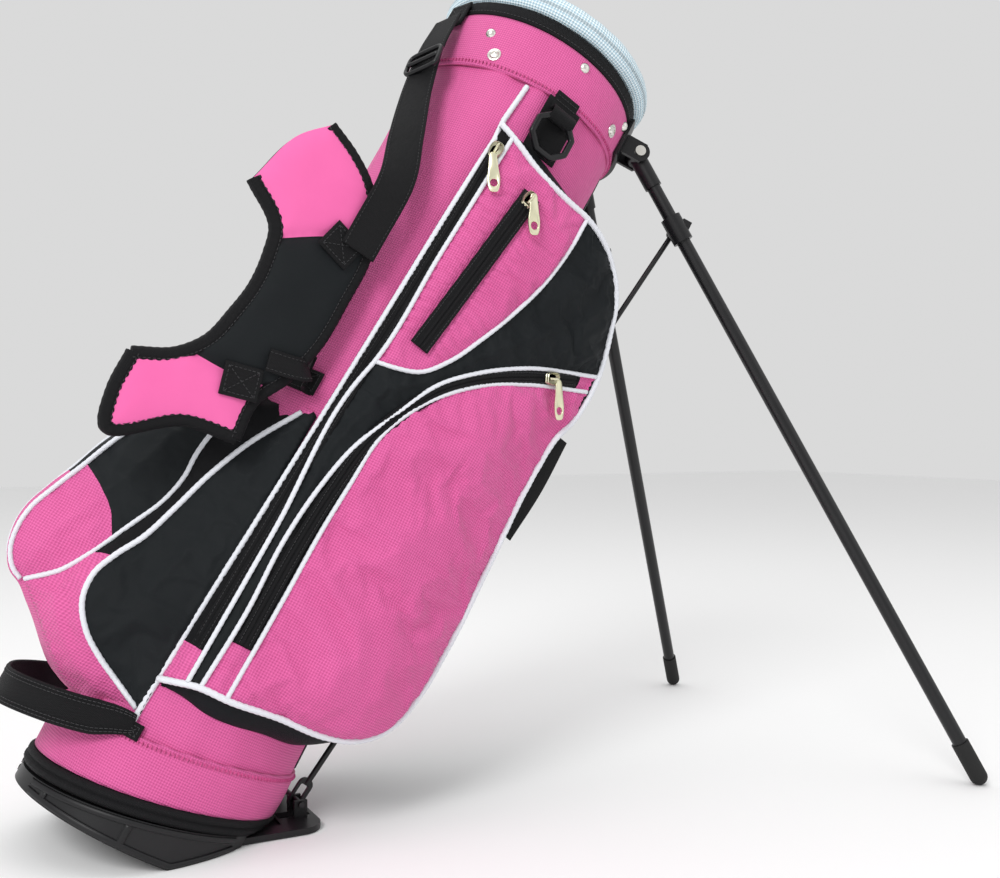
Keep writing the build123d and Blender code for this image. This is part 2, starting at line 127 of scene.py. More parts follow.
def colour_mix(tree, factor, dark, light):
    """Colour between dark and light by factor."""
    mix = tree.nodes.new("ShaderNodeMix")
    mix.data_type = "RGBA"
    mix.inputs["A"].default_value = (*dark, 1)
    mix.inputs["B"].default_value = (*light, 1)
    if isinstance(factor, (int, float)):
        mix.inputs["Factor"].default_value = factor
    else:
        tree.links.new(factor, mix.inputs["Factor"])
    return mix.outputs["Result"]


def weave_height(tree, pitch_u, pitch_v, diagonal=False):
    """Height of a woven pattern over the UV map, which is in metres."""
    uv = tree.nodes.new("ShaderNodeUVMap")
    split = tree.nodes.new("ShaderNodeSeparateXYZ")
    tree.links.new(uv.outputs[0], split.inputs[0])
    a, b = split.outputs[0], split.outputs[1]
    if diagonal:
        a, b = math_node(tree, "ADD", a, b), math_node(tree, "SUBTRACT", a, b)
    waves = []
    for value, pitch in ((a, pitch_u), (b, pitch_v)):
        waves.append(math_node(tree, "SINE", math_node(tree, "MULTIPLY", value, 2 * math.pi / pitch)))
    return math_node(tree, "MULTIPLY", waves[0], waves[1])


def finish_material(tree, bsdf, height, strength, distance, roughness, colour):
    """Wires bump, colour and roughness to the shader."""
    bump = node(tree, "ShaderNodeBump", Strength=strength, Distance=distance)
    tree.links.new(height, bump.inputs["Height"])
    tree.links.new(bump.outputs[0], bsdf.inputs["Normal"])
    tree.links.new(colour, bsdf.inputs["Base Color"])
    if isinstance(roughness, (int, float)):
        bsdf.inputs["Roughness"].default_value = roughness
    else:
        tree.links.new(roughness, bsdf.inputs["Roughness"])


def fabric(name, dark, light, pitch=0.0042, strength=0.5, roughness=0.62, sheen=0.12, mottled=0.35,
           diagonal=True, shine=0.3):
    """Woven cloth: a small repeating weave, soft blotches of shade, and sheen."""
    mat, tree, bsdf = new_material(name)
    height = weave_height(tree, pitch, pitch, diagonal)
    coords = tree.nodes.new("ShaderNodeTexCoord")
    blotch = node(tree, "ShaderNodeTexNoise", Scale=14.0, Detail=4.0, Roughness=0.6)
    tree.links.new(coords.outputs["Object"], blotch.inputs["Vector"])
    shade = math_node(tree, "MULTIPLY", height, 0.5 - 0.5 * mottled)
    shade = math_node(tree, "ADD", shade, math_node(tree, "MULTIPLY", blotch.outputs[0], mottled))
    factor = math_node(tree, "ADD", shade, 0.5 - 0.5 * mottled)
    finish_material(tree, bsdf, height, strength, 0.0006, roughness, colour_mix(tree, factor, dark, light))
    bsdf.inputs["Sheen Weight"].default_value = sheen
    bsdf.inputs["Sheen Roughness"].default_value = 0.45
    bsdf.inputs["Specular IOR Level"].default_value = shine
    return mat


def webbing_material(name, dark, light):
    """Ribbed nylon tape: cross ribs with a herringbone break."""
    mat, tree, bsdf = new_material(name)
    pitch = 0.0016
    height = weave_height(tree, pitch, pitch * 2.2, True)
    factor = math_node(tree, "MULTIPLY_ADD", height, 0.5)
    factor.node.inputs[2].default_value = 0.5
    finish_material(tree, bsdf, height, 0.8, 0.0007, 0.58, colour_mix(tree, factor, dark, light))
    bsdf.inputs["Specular IOR Level"].default_value = 0.18
    return mat


def plastic(name, dark, light, roughness, strength=0.12, coat=0.0):
    """Moulded plastic with a fine grain and uneven shine."""
    mat, tree, bsdf = new_material(name)
    coords = tree.nodes.new("ShaderNodeTexCoord")
    fine = node(tree, "ShaderNodeTexNoise", Scale=900.0, Detail=3.0)
    broad = node(tree, "ShaderNodeTexNoise", Scale=22.0, Detail=4.0, Roughness=0.65)
    for n in (fine, broad):
        tree.links.new(coords.outputs["Object"], n.inputs["Vector"])
    rough = math_node(tree, "MULTIPLY_ADD", broad.outputs[0], 0.22)
    rough.node.inputs[2].default_value = roughness - 0.11
    finish_material(tree, bsdf, fine.outputs[0], strength, 0.0004, rough,
                    colour_mix(tree, broad.outputs[0], dark, light))
    bsdf.inputs["Specular IOR Level"].default_value = 0.32
    bsdf.inputs["Coat Weight"].default_value = coat
    bsdf.inputs["Coat Roughness"].default_value = 0.2
    return mat


def metal(name, dark, light, roughness):
    """Metal with fine grain and uneven shine."""
    mat, tree, bsdf = new_material(name)
    coords = tree.nodes.new("ShaderNodeTexCoord")
    fine = node(tree, "ShaderNodeTexNoise", Scale=500.0, Detail=2.0)
    broad = node(tree, "ShaderNodeTexNoise", Scale=60.0, Detail=5.0)
    for n in (fine, broad):
        tree.links.new(coords.outputs["Object"], n.inputs["Vector"])
    rough = math_node(tree, "MULTIPLY_ADD", broad.outputs[0], 0.25)
    rough.node.inputs[2].default_value = roughness - 0.1
    finish_material(tree, bsdf, fine.outputs[0], 0.05, 0.0003, rough,
                    colour_mix(tree, broad.outputs[0], dark, light))
    bsdf.inputs["Metallic"].default_value = 1.0
    return mat


def mesh_fabric(name, dark, light):
    """Spacer mesh: rows of small round holes in a pale knit."""
    mat, tree, bsdf = new_material(name)
    height = weave_height(tree, 0.0052, 0.0052, True)
    lifted = math_node(tree, "MULTIPLY_ADD", height, 0.9)
    lifted.node.inputs[2].default_value = 0.62
    lifted.node.use_clamp = True
    finish_material(tree, bsdf, lifted, 0.7, 0.0012, 0.75, colour_mix(tree, lifted, dark, light))
    bsdf.inputs["Sheen Weight"].default_value = 0.2
    return mat


PINK_DARK, PINK_LIGHT = (0.44, 0.046, 0.18), (0.84, 0.155, 0.43)
MATS = {
    "pink": fabric("pink_weave", PINK_DARK, PINK_LIGHT),
    "pad_pink": fabric("pad_pink", (0.74, 0.10, 0.33), (0.88, 0.17, 0.44), pitch=0.0011, strength=0.12,
                       roughness=0.7, mottled=0.5),
    "dark": fabric("dark_nylon", (0.004, 0.005, 0.006), (0.010, 0.013, 0.015), pitch=0.0016,
                   strength=0.35, roughness=0.5, sheen=0.0, shine=0.16),
    "black": fabric("black_cloth", (0.004, 0.004, 0.005), (0.012, 0.012, 0.013), pitch=0.0012,
                    strength=0.3, roughness=0.7, sheen=0.0, shine=0.1),
    "webbing": webbing_material("webbing_black", (0.004, 0.004, 0.005), (0.016, 0.016, 0.017)),
    "binding": fabric("binding_black", (0.004, 0.004, 0.005), (0.013, 0.013, 0.014), pitch=0.0014,
                      strength=0.6, roughness=0.6, sheen=0.0, diagonal=False, shine=0.15),
    "piping": fabric("piping_white", (0.60, 0.62, 0.68), (0.88, 0.89, 0.93), pitch=0.0012, strength=0.3,
                     roughness=0.55, sheen=0.1, mottled=0.3, diagonal=False),
    "zip": fabric("zip_tape_cloth", (0.003, 0.003, 0.004), (0.010, 0.010, 0.011), pitch=0.0011,
                  strength=0.6, roughness=0.5, sheen=0.0, diagonal=False, shine=0.18),
    "mesh": mesh_fabric("mesh_pale", (0.36, 0.55, 0.66), (0.80, 0.91, 0.95)),
    "thread": fabric("thread_pink", (0.55, 0.06, 0.22), (0.80, 0.13, 0.38), pitch=0.0008, strength=0.4,
                     roughness=0.6, mottled=0.2),
    "thread_black": fabric("thread_dark", (0.022, 0.022, 0.024), (0.06, 0.06, 0.064), pitch=0.0008,
                           strength=0.4, roughness=0.5, mottled=0.2),
    "base": plastic("base_black", (0.006, 0.006, 0.007), (0.014, 0.014, 0.015), roughness=0.40),
    "gloss": plastic("moulded_black", (0.005, 0.005, 0.006), (0.012, 0.012, 0.013), roughness=0.30,
                     strength=0.06),
    "leg": plastic("leg_satin_black", (0.004, 0.004, 0.005), (0.009, 0.009, 0.010), roughness=0.34,
                   strength=0.03, coat=0.15),
    "rubber": plastic("foot_rubber", (0.008, 0.008, 0.008), (0.02, 0.02, 0.02), roughness=0.7,
                      strength=0.3),
    "steel": metal("dark_steel", (0.03, 0.03, 0.032), (0.07, 0.07, 0.072), 0.35),
    "nickel": metal("nickel_plate", (0.62, 0.60, 0.55), (0.86, 0.84, 0.80), 0.2),
    "gold": metal("pale_gold", (0.66, 0.63, 0.42), (0.90, 0.88, 0.66), 0.32),
    "lining": fabric("lining_grey", (0.02, 0.02, 0.022), (0.04, 0.04, 0.045), pitch=0.0016),
}


# ---------------------------------------------------------------- mesh helpers
def mesh_object(name, verts_world, faces, material, uv=None, smooth=True):
    """Object with one material from vertices in metres, faces and a UV pair for each vertex."""
    mesh = bpy.data.meshes.new(name)
    mesh.from_pydata([tuple(v) for v in np.asarray(verts_world, float)], [], [tuple(f) for f in faces])
    if uv is not None:
        uv = np.asarray(uv, float)
        layer = mesh.uv_layers.new(name="UVMap")
        index = np.zeros(len(mesh.loops), np.int32)
        mesh.loops.foreach_get("vertex_index", index)
        layer.data.foreach_set("uv", uv[index].astype(np.float32).ravel())
    mesh.validate()
    if smooth:
        mesh.polygons.foreach_set("use_smooth", [True] * len(mesh.polygons))
    obj = bpy.data.objects.new(name, mesh)
    bpy.context.collection.objects.link(obj)
    mesh.materials.append(MATS[material] if isinstance(material, str) else material)
    return obj


def modify(obj, kind, **settings):
    """Adds a modifier with its settings."""
    mod = obj.modifiers.new(kind.lower(), kind)
    for key, value in settings.items():
        setattr(mod, key, value)
    return mod


def grid_faces(rows, columns, round_rows=False, round_columns=True):
    """Quads of a grid of points listed row by row, closed round or open either way."""
    faces = []
    for i in range(rows if round_rows else rows - 1):
        step = columns if i < rows - 1 else -i * columns
        for j in range(columns if round_columns else columns - 1):
            a, b = i * columns + j, i * columns + (j + 1) % columns
            faces.append((a, b, b + step, a + step))
    return faces


def turned(faces):
    """The same quads facing the other way."""
    return [(a, d, c, b) for a, b, c, d in faces]


def ends(rows, columns):
    """The two faces that close a swept tube."""
    return [tuple(range(columns))[::-1], tuple(range((rows - 1) * columns, rows * columns))]


def settle(obj, body, slot, *nodes, pad=None):
    """Applies modifiers, puts the piece on its body and hides the CAD nodes it replaces; slot is not used."""
    if obj.modifiers:
        graph = bpy.context.evaluated_depsgraph_get()
        mesh = bpy.data.meshes.new_from_object(obj.evaluated_get(graph), depsgraph=graph)
        obj.modifiers.clear()
        obj.data = mesh
    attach(obj, body)
    if nodes:
        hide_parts(*nodes)
    return obj


def smooth_line(points, step=3.0):
    """Even points along a smooth curve through the given ones."""
    pts = np.asarray(points, float)
    ext = np.vstack([2 * pts[0] - pts[1], pts, 2 * pts[-1] - pts[-2]])
    out = []
    for i in range(1, len(ext) - 2):
        p0, p1, p2, p3 = ext[i - 1:i + 3]
        d1 = max(np.linalg.norm(p2 - p1), 1e-6)
        d0, d2 = max(np.linalg.norm(p1 - p0), 1e-6), max(np.linalg.norm(p3 - p2), 1e-6)
        m1 = d1 * ((p1 - p0) / d0 * d1 + (p2 - p1) / d1 * d0) / (d0 + d1)
        m2 = d1 * ((p2 - p1) / d1 * d2 + (p3 - p2) / d2 * d1) / (d1 + d2)
        for t in np.linspace(0, 1, max(int(d1 / 1.0), 4), endpoint=False):
            t2, t3 = t * t, t * t * t
            out.append((2 * t3 - 3 * t2 + 1) * p1 + (t3 - 2 * t2 + t) * m1
                       + (-2 * t3 + 3 * t2) * p2 + (t3 - t2) * m2)
    out.append(ext[-2])
    return even(np.array(out), step)


def even(line, step):
    """Points at even steps along a line."""
    s = length_along(line)
    count = max(int(round(s[-1] / step)), 1) + 1
    at = np.linspace(0, s[-1], count)
    return np.stack([np.interp(at, s, line[:, k]) for k in range(line.shape[1])], -1)


def frames_along(line, hint):
    """Unit tangent, side and normal at each point; hint is the wished normal, one or per point."""
    tangent = unit(np.gradient(line, axis=0))
    hint = np.atleast_2d(np.asarray(hint, float))
    if len(hint) != len(line):
        at = np.linspace(0, len(hint) - 1, len(line))
        hint = np.stack([np.interp(at, np.arange(len(hint)), hint[:, k]) for k in range(3)], -1)
    side = np.cross(tangent, hint)
    side /= np.linalg.norm(side, axis=1, keepdims=True) + 1e-12
    return tangent, side, np.cross(side, tangent)


def loft(name, line, hint, section, material, closed_ends=True, scale=None):
    """Sweeps a closed section (list of side, normal offsets in mm) along a line in the bag frame."""
    line = np.asarray(line, float)
    _, side, normal = frames_along(line, hint)
    sec = np.asarray(section, float)
    n, k = len(line), len(sec)
    verts, uv = [], []
    travel = length_along(line)
    ring_len = length_along(sec)
    for i in range(n):
        f = 1.0 if scale is None else scale[i]
        for j in range(k):
            verts.append(line[i] + side[i] * sec[j, 0] * f + normal[i] * sec[j, 1] * f)
            uv.append((travel[i] * MM, ring_len[j] * MM))
    faces = grid_faces(n, k)
    if closed_ends:
        faces += ends(n, k)
    return mesh_object(name, to_world(verts), faces, material, uv)


def round_section(radius, count=10):
    """Circle as a section for loft."""
    return [(radius * math.cos(2 * math.pi * i / count), radius * math.sin(2 * math.pi * i / count))
            for i in range(count)]


def flat_section(width, thick):
    """Flat strip with rounded edges, as webbing is."""
    h, t = width / 2, thick / 2
    bevel = 0.35 * thick
    top = [(h, 0.35 * t), (h - bevel, t)]
    top += [(x, t) for x in np.linspace(h, -h, 9)[1:-1]]
    top += [(-h + bevel, t), (-h, 0.35 * t)]
    return top + [(-x, -y) for x, y in top]


def cord_piping(name, line, hint, radius):
    """Covered cord: a round edge with a fine twist."""
    line = even(np.asarray(line, float), 1.6)
    _, side, normal = frames_along(line, hint)
    travel = length_along(line)
    k = 12             # points round the cord
    pitch = 5.0        # length of one twist
    verts, uv = [], []
    for i in range(len(line)):
        for j in range(k):
            a = 2 * math.pi * j / k
            r = radius * (1 + 0.07 * math.cos(2 * a - 2 * math.pi * travel[i] / pitch))
            verts.append(line[i] + side[i] * r * math.cos(a) + normal[i] * r * math.sin(a))
            uv.append((travel[i] * MM, a * radius * MM))
    faces = grid_faces(len(line), k) + ends(len(line), k)
    return mesh_object(name, to_world(verts), faces, "piping", uv)


def join(objects, name):
    """One object out of several."""
    bpy.ops.object.select_all(action="DESELECT")
    for o in objects:
        o.select_set(True)
    bpy.context.view_layer.objects.active = objects[0]
    bpy.ops.object.join()
    objects[0].name = name
    objects[0].data.name = name
    return objects[0]


def stitches(name, line, hint, length=2.6, gap=1.6, radius=0.35, material="thread"):
    """A row of sewing stitches along a line that lies on a surface."""
    fine = 0.5          # spacing of the points that stitches start and end on
    lift = 0.25         # how far a stitch's middle rises
    dense = even(np.asarray(line, float), fine)
    _, side, normal = frames_along(dense, hint)
    verts, faces, uv = [], [], []
    per = int((length + gap) / fine)
    on = int(length / fine)
    stitch_faces = grid_faces(4, 5) + ends(4, 5)
    for start in range(0, len(dense) - on, per):
        base = len(verts)
        for i, k in enumerate(np.linspace(start, start + on, 4).astype(int)):
            rise = lift * math.sin(math.pi * i / 3) + 0.05
            for j in range(5):
                a = 2 * math.pi * j / 5
                verts.append(dense[k] + normal[k] * (rise + radius * math.sin(a))
                             + side[k] * radius * math.cos(a))
                uv.append((k * fine * MM, a * radius * MM))
        faces += [tuple(base + i for i in f) for f in stitch_faces]
    return mesh_object(name, to_world(verts), faces, material, uv)


def lathe(name, profile, centre, axis, material, count=32):
    """Turned part: profile is (radius, height) in mm, centre in the bag frame, axis a bag direction."""
    x = unit(np.cross(UP, axis))
    y = np.cross(axis, x)
    verts, uv = [], []
    for r, h in profile:
        for j in range(count):
            a = 2 * math.pi * j / count
            verts.append(np.asarray(centre, float) + axis * h + (x * math.cos(a) + y * math.sin(a)) * r)
            uv.append((a * r * MM, h * MM))
    obj = mesh_object(name, to_world(verts), grid_faces(len(profile), count), material, uv)
    modify(obj, "EDGE_SPLIT", split_angle=math.radians(40))
    return obj


# ---------------------------------------------------------------- sewn surfaces
POCKET_DEPTH = [(-64, 73), (-55, 87), (-47, 97), (-37, 102.5), (-28, 106), (0, 110.5), (30, 111.5),
                (60, 109.5), (110, 98.5), (140, 91), (160, 85.5)]      # front, across


def pocket_depth(u):
    """How far the side pocket's face lies from the bag's middle plane at u."""
    table = smooth_line(np.array(POCKET_DEPTH, float), 1.0)
    return np.interp(u, table[:, 0], table[:, 1])


def inside(points, polygon):
    """Which points (n, 2) are in the polygon (m, 2)."""
    x, y = points[:, 0], points[:, 1]
    result = np.zeros(len(points), bool)
    px, py = polygon[:, 0], polygon[:, 1]
    j = len(polygon) - 1
    for i in range(len(polygon)):
        crosses = (py[i] > y) != (py[j] > y)
        with np.errstate(divide="ignore", invalid="ignore"):
            at = (px[j] - px[i]) * (y - py[i]) / (py[j] - py[i]) + px[i]
        result ^= crosses & (x < at)
        j = i
    return result


def nearest(points, seams):
    """Distance from each point to the closest seam point."""
    best = np.full(len(points), 1e9)
    for seam in seams:
        for k in range(0, len(seam), 400):
            d = np.linalg.norm(points[:, None, :] - seam[None, k:k + 400, :], axis=2)
            best = np.minimum(best, d.min(axis=1))
    return best


def triangulate(outline, seams, spacing):
    """Even triangles inside an outline, with edges along every seam. All in two dimensions."""
    lines = [even(np.asarray(s, float), spacing) for s in seams]
    ring = even(np.vstack([outline, outline[:1]]), spacing)[:-1]
    points, edges = [], []
    for line in lines:
        base = len(points)
        points += [tuple(p) for p in line]
        edges += [(base + i, base + i + 1) for i in range(len(line) - 1)]
    base = len(points)
    points += [tuple(p) for p in ring]
    edges += [(base + i, base + (i + 1) % len(ring)) for i in range(len(ring))]
    low, high = ring.min(axis=0), ring.max(axis=0)
    grid = []
    row = 0
    y = low[1]
    while y < high[1]:
        x = low[0] + (0.5 * spacing if row % 2 else 0.0)
        while x < high[0]:
            grid.append((x, y))
            x += spacing
        y += spacing * 0.866
        row += 1
    grid = np.array(grid)
    grid = grid[inside(grid, ring)]
    fixed = np.array(points)
    grid = grid[nearest(grid, [fixed]) > 0.62 * spacing]
    points += [tuple(p) for p in grid]
    verts, _, faces, _, _, _ = delaunay_2d_cdt([Vector(p) for p in points], edges, [], 0, 0.02)
    verts = np.array([tuple(v) for v in verts])
    centres = np.array([verts[list(f)].mean(axis=0) for f in faces])
    keep = inside(centres, ring)
    faces = [f for f, k in zip(faces, keep) if k]
    used = sorted({i for f in faces for i in f})
    index = {v: i for i, v in enumerate(used)}
    return verts[used], [tuple(index[i] for i in f) for f in faces]


def noise_at(points, scale, seed=0.0, stretch=(1, 1, 1)):
    """Smooth noise in -1..1 at bag frame points in mm."""
    return np.array([noise.noise(Vector((p[0] * stretch[0] / scale + seed, p[1] * stretch[1] / scale,
                                         p[2] * stretch[2] / scale))) for p in points])


def cloth_swell(verts, faces, pinned, pressure, stretch, frames, cap, still=False):
    """Blows a pinned cloth up a little, so it wrinkles between its seams. Bag frame millimetres."""
    if still:
        return verts
    world = to_world(verts)
    obj = mesh_object("swell", world, faces, "pink")    # taken away again at the end
    group = obj.vertex_groups.new(name="pin")
    group.add([int(i) for i in np.nonzero(pinned)[0]], 1.0, "REPLACE")
    mod = obj.modifiers.new("cloth", "CLOTH")
    s = mod.settings
    s.quality = 5
    s.mass = 0.25
    s.air_damping = 2.0
    s.tension_stiffness = s.compression_stiffness = 25.0
    s.shear_stiffness = 8.0
    s.bending_stiffness = 0.15
    s.vertex_group_mass = "pin"
    s.pin_stiffness = 50.0
    s.shrink_min = -stretch
    s.use_pressure = True
    s.uniform_pressure_force = pressure
    s.effector_weights.gravity = 0.0
    mod.collision_settings.use_collision = False
    scene = bpy.context.scene
    mod.point_cache.frame_start, mod.point_cache.frame_end = 1, frames + 1
    for f in range(1, frames + 1):
        scene.frame_set(f)
    graph = bpy.context.evaluated_depsgraph_get()
    mesh = obj.evaluated_get(graph).to_mesh()
    out = np.zeros(len(mesh.vertices) * 3)
    mesh.vertices.foreach_get("co", out)
    out = out.reshape(-1, 3)
    obj.evaluated_get(graph).to_mesh_clear()
    delta = lean_back((out - world) / MM)
    size = np.linalg.norm(delta, axis=1, keepdims=True)
    delta *= np.minimum(1.0, cap / np.maximum(size, 1e-9))
    data = obj.data
    bpy.data.objects.remove(obj)
    bpy.data.meshes.remove(data)
    scene.frame_set(1)
    return verts + delta


def paint(obj, faces_material, names):
    """Gives each face one of the named materials."""
    obj.data.materials.clear()
    for n in names:
        obj.data.materials.append(MATS[n])
    obj.data.polygons.foreach_set("material_index", np.asarray(faces_material, np.int32))
    obj.data.update()


def orient(verts, faces, towards):
    """Turns each face so that its normal points along towards once to_world has mirrored the bag."""
    out = []
    for f in faces:
        a, b, c = (verts[i] for i in f[:3])
        n = np.cross(b - a, c - a)
        out.append(tuple(reversed(f)) if np.dot(n, towards) > 0 else f)
    return out


# ---- side pocket: seams as (front, along) on the pocket's face
LONG_SEAM = [(-61, 80), (-59, 162), (-55, 261), (-51, 364), (-47, 470), (-43, 568), (-40, 620),
             (-34, 690)]
ZIP_SEAM = [(-28, 634), (-34, 515), (-39, 406), (-42, 390), (-43, 255), (-45, 127)]
LEAF_SEAM = [(65, 617), (63, 580), (57, 546), (44, 506), (29, 471), (13, 440), (-4, 420), (-24, 412),
             (-39, 409)]
UPPER_SEAM = [(152, 511), (77, 473), (42, 447), (14, 418), (-4, 382), (-22, 340), (-30, 300), (-34, 255),
              (-33, 190), (-36, 128)]
LOWER_SEAM = [(150, 494), (85, 462), (48, 438), (22, 413), (7, 392), (-7, 359), (-11, 312), (-13, 278),
              (-14, 216), (-16, 129)]
OUTER_SEAM = [(-40, 641), (-24, 634), (2, 624), (40, 618), (67, 617), (96, 610), (118, 596), (134, 578),
              (144, 552), (154, 516), (151, 465), (142, 442), (138, 408), (138, 314), (138, 237), (133, 190),
              (126, 168), (112, 150), (95, 140), (70, 134), (24, 132), (-10, 128), (-42, 126), (-60, 119)]
POCKET_LOW, POCKET_HIGH = 119, 641     # where the long seam meets the outer seam
MAIN_END, CURVED_END = 152, 167        # lower ends of the main zip and the curved zip, along
CURVED_START = 136                     # front end of the curved zip
DARK, PINK, BLACK = 0, 1, 2            # cloths of the panels
PUFF = np.array([1.0, 4.0, 4.5, 7.0])  # how far zip, dark, leaf and lower panels bulge
ZIP_PANEL, DARK_PANEL, LEAF_PANEL, LOWER_PANEL = range(4)


def on_face(line, lift=0.0):
    """Side view points put on the pocket's face, raised by lift."""
    line = np.asarray(line, float)
    slope = (pocket_depth(line[:, 0] + 1) - pocket_depth(line[:, 0] - 1)) / 2
    n = unit(np.stack([-slope, np.ones(len(line)), np.zeros(len(line))], -1))
    p = np.stack([line[:, 0], pocket_depth(line[:, 0]), line[:, 1]], -1)
    return p + n * lift, n


def sided(points, side):
    """Points as they are for the near side, 1, or mirrored to the far side, -1."""
    p = np.array(points, float)
    p[..., 1] *= side
    return p


def pocket_panels(seams, left, outer):
    """Flat cloth of the pocket face cut along its seams, with each triangle's cloth and panel."""
    outline = np.vstack([outer, left])
    clipped = [seams[k][inside(seams[k], outline)] for k in ("zip", "leaf", "upper", "lower")]
    zip_ends = [[(-62, MAIN_END), (-42, MAIN_END)], [(-34, CURVED_END), (-14, CURVED_END)],
                [(CURVED_START, 502), (CURVED_START, 484)]]
    flat, faces = triangulate(outline, clipped + [np.array(e, float) for e in zip_ends], 3.0)
    centres = np.array([flat[list(f)].mean(axis=0) for f in faces])
    zip_line = seams["zip"]
    leaf_top = outer[(outer[:, 1] > 612) & (outer[:, 0] < 66)]
    zip_top = zip_line[zip_line[:, 1] > 409]
    right = outer[np.argmin(np.linalg.norm(outer - (150, 470), axis=1)):]
    right = right[right[:, 0] > -16]
    in_zip = inside(centres, np.vstack([left, zip_line, [(-60, POCKET_LOW)]]))
    in_leaf = inside(centres, np.vstack([zip_top[::-1], leaf_top, seams["leaf"]]))
    in_lower = inside(centres, np.vstack([right, seams["lower"][::-1]]))
    in_curved = inside(centres, np.vstack([seams["upper"], seams["lower"][::-1]])) & ~in_lower
    cloth = np.full(len(faces), DARK)
    cloth[in_zip | in_curved] = BLACK
    cloth[in_leaf | in_lower] = PINK
    cloth[in_zip & (centres[:, 1] < MAIN_END)] = PINK
    cloth[in_curved & ((centres[:, 1] < CURVED_END) | (centres[:, 0] > CURVED_START))] = PINK
    panel = np.full(len(faces), ZIP_PANEL)
    panel[in_lower] = LOWER_PANEL
    panel[in_leaf] = LEAF_PANEL
    panel[~(in_lower | in_leaf | in_zip | in_curved)] = DARK_PANEL
    return flat, faces, clipped, cloth, panel


def pocket_rise(flat, faces, panel, to_seam, side):
    """How far the cloth stands off the pocket's face, and which points lie under the upper zip."""
    puff = np.zeros(len(flat))
    votes = np.zeros(len(flat))
    for f, k in zip(faces, panel):
        for i in f:
            puff[i] += PUFF[k]
            votes[i] += 1
    puff /= np.maximum(votes, 1)
    rise = puff * (1 - np.exp(-to_seam / 14.0))
    level = np.zeros(len(flat))
    wave = noise_at(np.column_stack([flat, level]), 46.0, 3.1 * side, (1.5, 0.75, 1))
    slanted = np.column_stack([flat[:, 0] + 0.5 * flat[:, 1], flat[:, 1] - 0.6 * flat[:, 0], level])
    fine = noise_at(slanted, 17.0, 7.7, (1.0, 0.45, 1))
    rise += (1 - np.exp(-to_seam / 9.0)) * (1.8 * wave + 0.9 * fine) * (puff / 6.0)
    # the upper panel is gathered along its zip
    top, low = np.array((9.0, 600.0)), np.array((-15.0, 436.0))
    along = np.clip(((flat - top) @ (low - top)) / ((low - top) @ (low - top)), 0, 1)
    off = np.linalg.norm(flat - (top + along[:, None] * (low - top)), axis=1)
    under_zip = off < 12
    pucker = np.sin(along * 168 / 9.0 * 2 * math.pi + 2.0 * np.sin(off / 9.0 + along * 9))
    gather = np.exp(-((off - 13) / 15.0) ** 2) * pucker * 0.9
    rise += gather * (kind_at(flat, faces, panel) == LEAF_PANEL)
    rise[under_zip & (to_seam > 0)] *= 0.55
    return rise, under_zip


def pocket_piping(seams, side, name):
    """White piping along every seam of one side pocket."""
    pipes = []
    for k, radius in (("outer", 2.6), ("zip", 1.9), ("leaf", 1.9), ("upper", 1.9), ("lower", 1.9)):
        line, n = on_face(seams[k], 2.2 if k == "zip" else 1.2)
        line = line + n * (0.35 * noise_at(line, 13.0, 5.0)[:, None])
        pipes.append(cord_piping("piping_" + k + name, sided(line, side), sided(n, side), radius))
    p, n = long_on_tube(seams["long"])
    pipes.append(cord_piping("piping_long" + name, sided(p, side), sided(n, side), 2.4))
    settle(join(pipes, "pocket_piping_" + name), "bag", "zip_tape")


def side_pocket(side):
    """The large side pocket: sewn panels, gusset, piping. side is 1 near, -1 far."""
    name = "near" if side > 0 else "far"
    seams = {k: smooth_line(v, 2.0) for k, v in
             (("long", LONG_SEAM), ("zip", ZIP_SEAM), ("leaf", LEAF_SEAM), ("upper", UPPER_SEAM),
              ("lower", LOWER_SEAM), ("outer", OUTER_SEAM))}
    left = seams["long"]
    left = left[(left[:, 1] > POCKET_LOW) & (left[:, 1] < POCKET_HIGH)]
    flat, faces, clipped, cloth, panel = pocket_panels(seams, left, seams["outer"])
    to_seam = nearest(flat, [seams["outer"], left] + clipped)
    verts, normal = on_face(flat)
    rise, under_zip = pocket_rise(flat, faces, panel, to_seam, side)
    verts = verts + normal * rise[:, None]
    pinned = (to_seam < 0.8) | under_zip
    verts = cloth_swell(verts, faces, pinned, 1.6, 0.045, 30, 8.0, still=(side < 0))
    verts = sided(verts, side)
    faces = orient(verts, faces, side * ACROSS)
    sheet = mesh_object("pocket_panels_" + name, to_world(verts), faces, "pink", flat * MM)
    paint(sheet, cloth, ["dark", "pink", "black"])
    modify(sheet, "SOLIDIFY", thickness=CLOTH, offset=-1.0)
    settle(sheet, "bag", "pink_fabric", "side_pocket_" + name)
    gusset(seams["outer"], side, name)
    pocket_piping(seams, side, name)


def kind_at(flat, faces, kind):
    """The highest kind of the faces round each point."""
    out = np.zeros(len(flat), int)
    for f, k in zip(faces, kind):
        for i in f:
            out[i] = max(out[i], k)
    return out


def long_on_tube(line):
    """The long piping lies in the corner between tube and pocket."""
    u = line[:, 0]
    v = np.sqrt(np.maximum(TUBE_R ** 2 - u ** 2, 1)) + 1.5
    v = np.where((line[:, 1] > 119) & (line[:, 1] < 640), np.maximum(v, pocket_depth(u) - 0.5), v)
    v = np.convolve(np.pad(v, 6, mode="edge"), np.ones(13) / 13, "valid")
    p = np.stack([u, v, line[:, 1]], -1)
    n = np.stack([u / 96, np.sqrt(np.maximum(1 - (u / 96) ** 2, 0.01)), np.zeros(len(u))], -1)
    return p, n


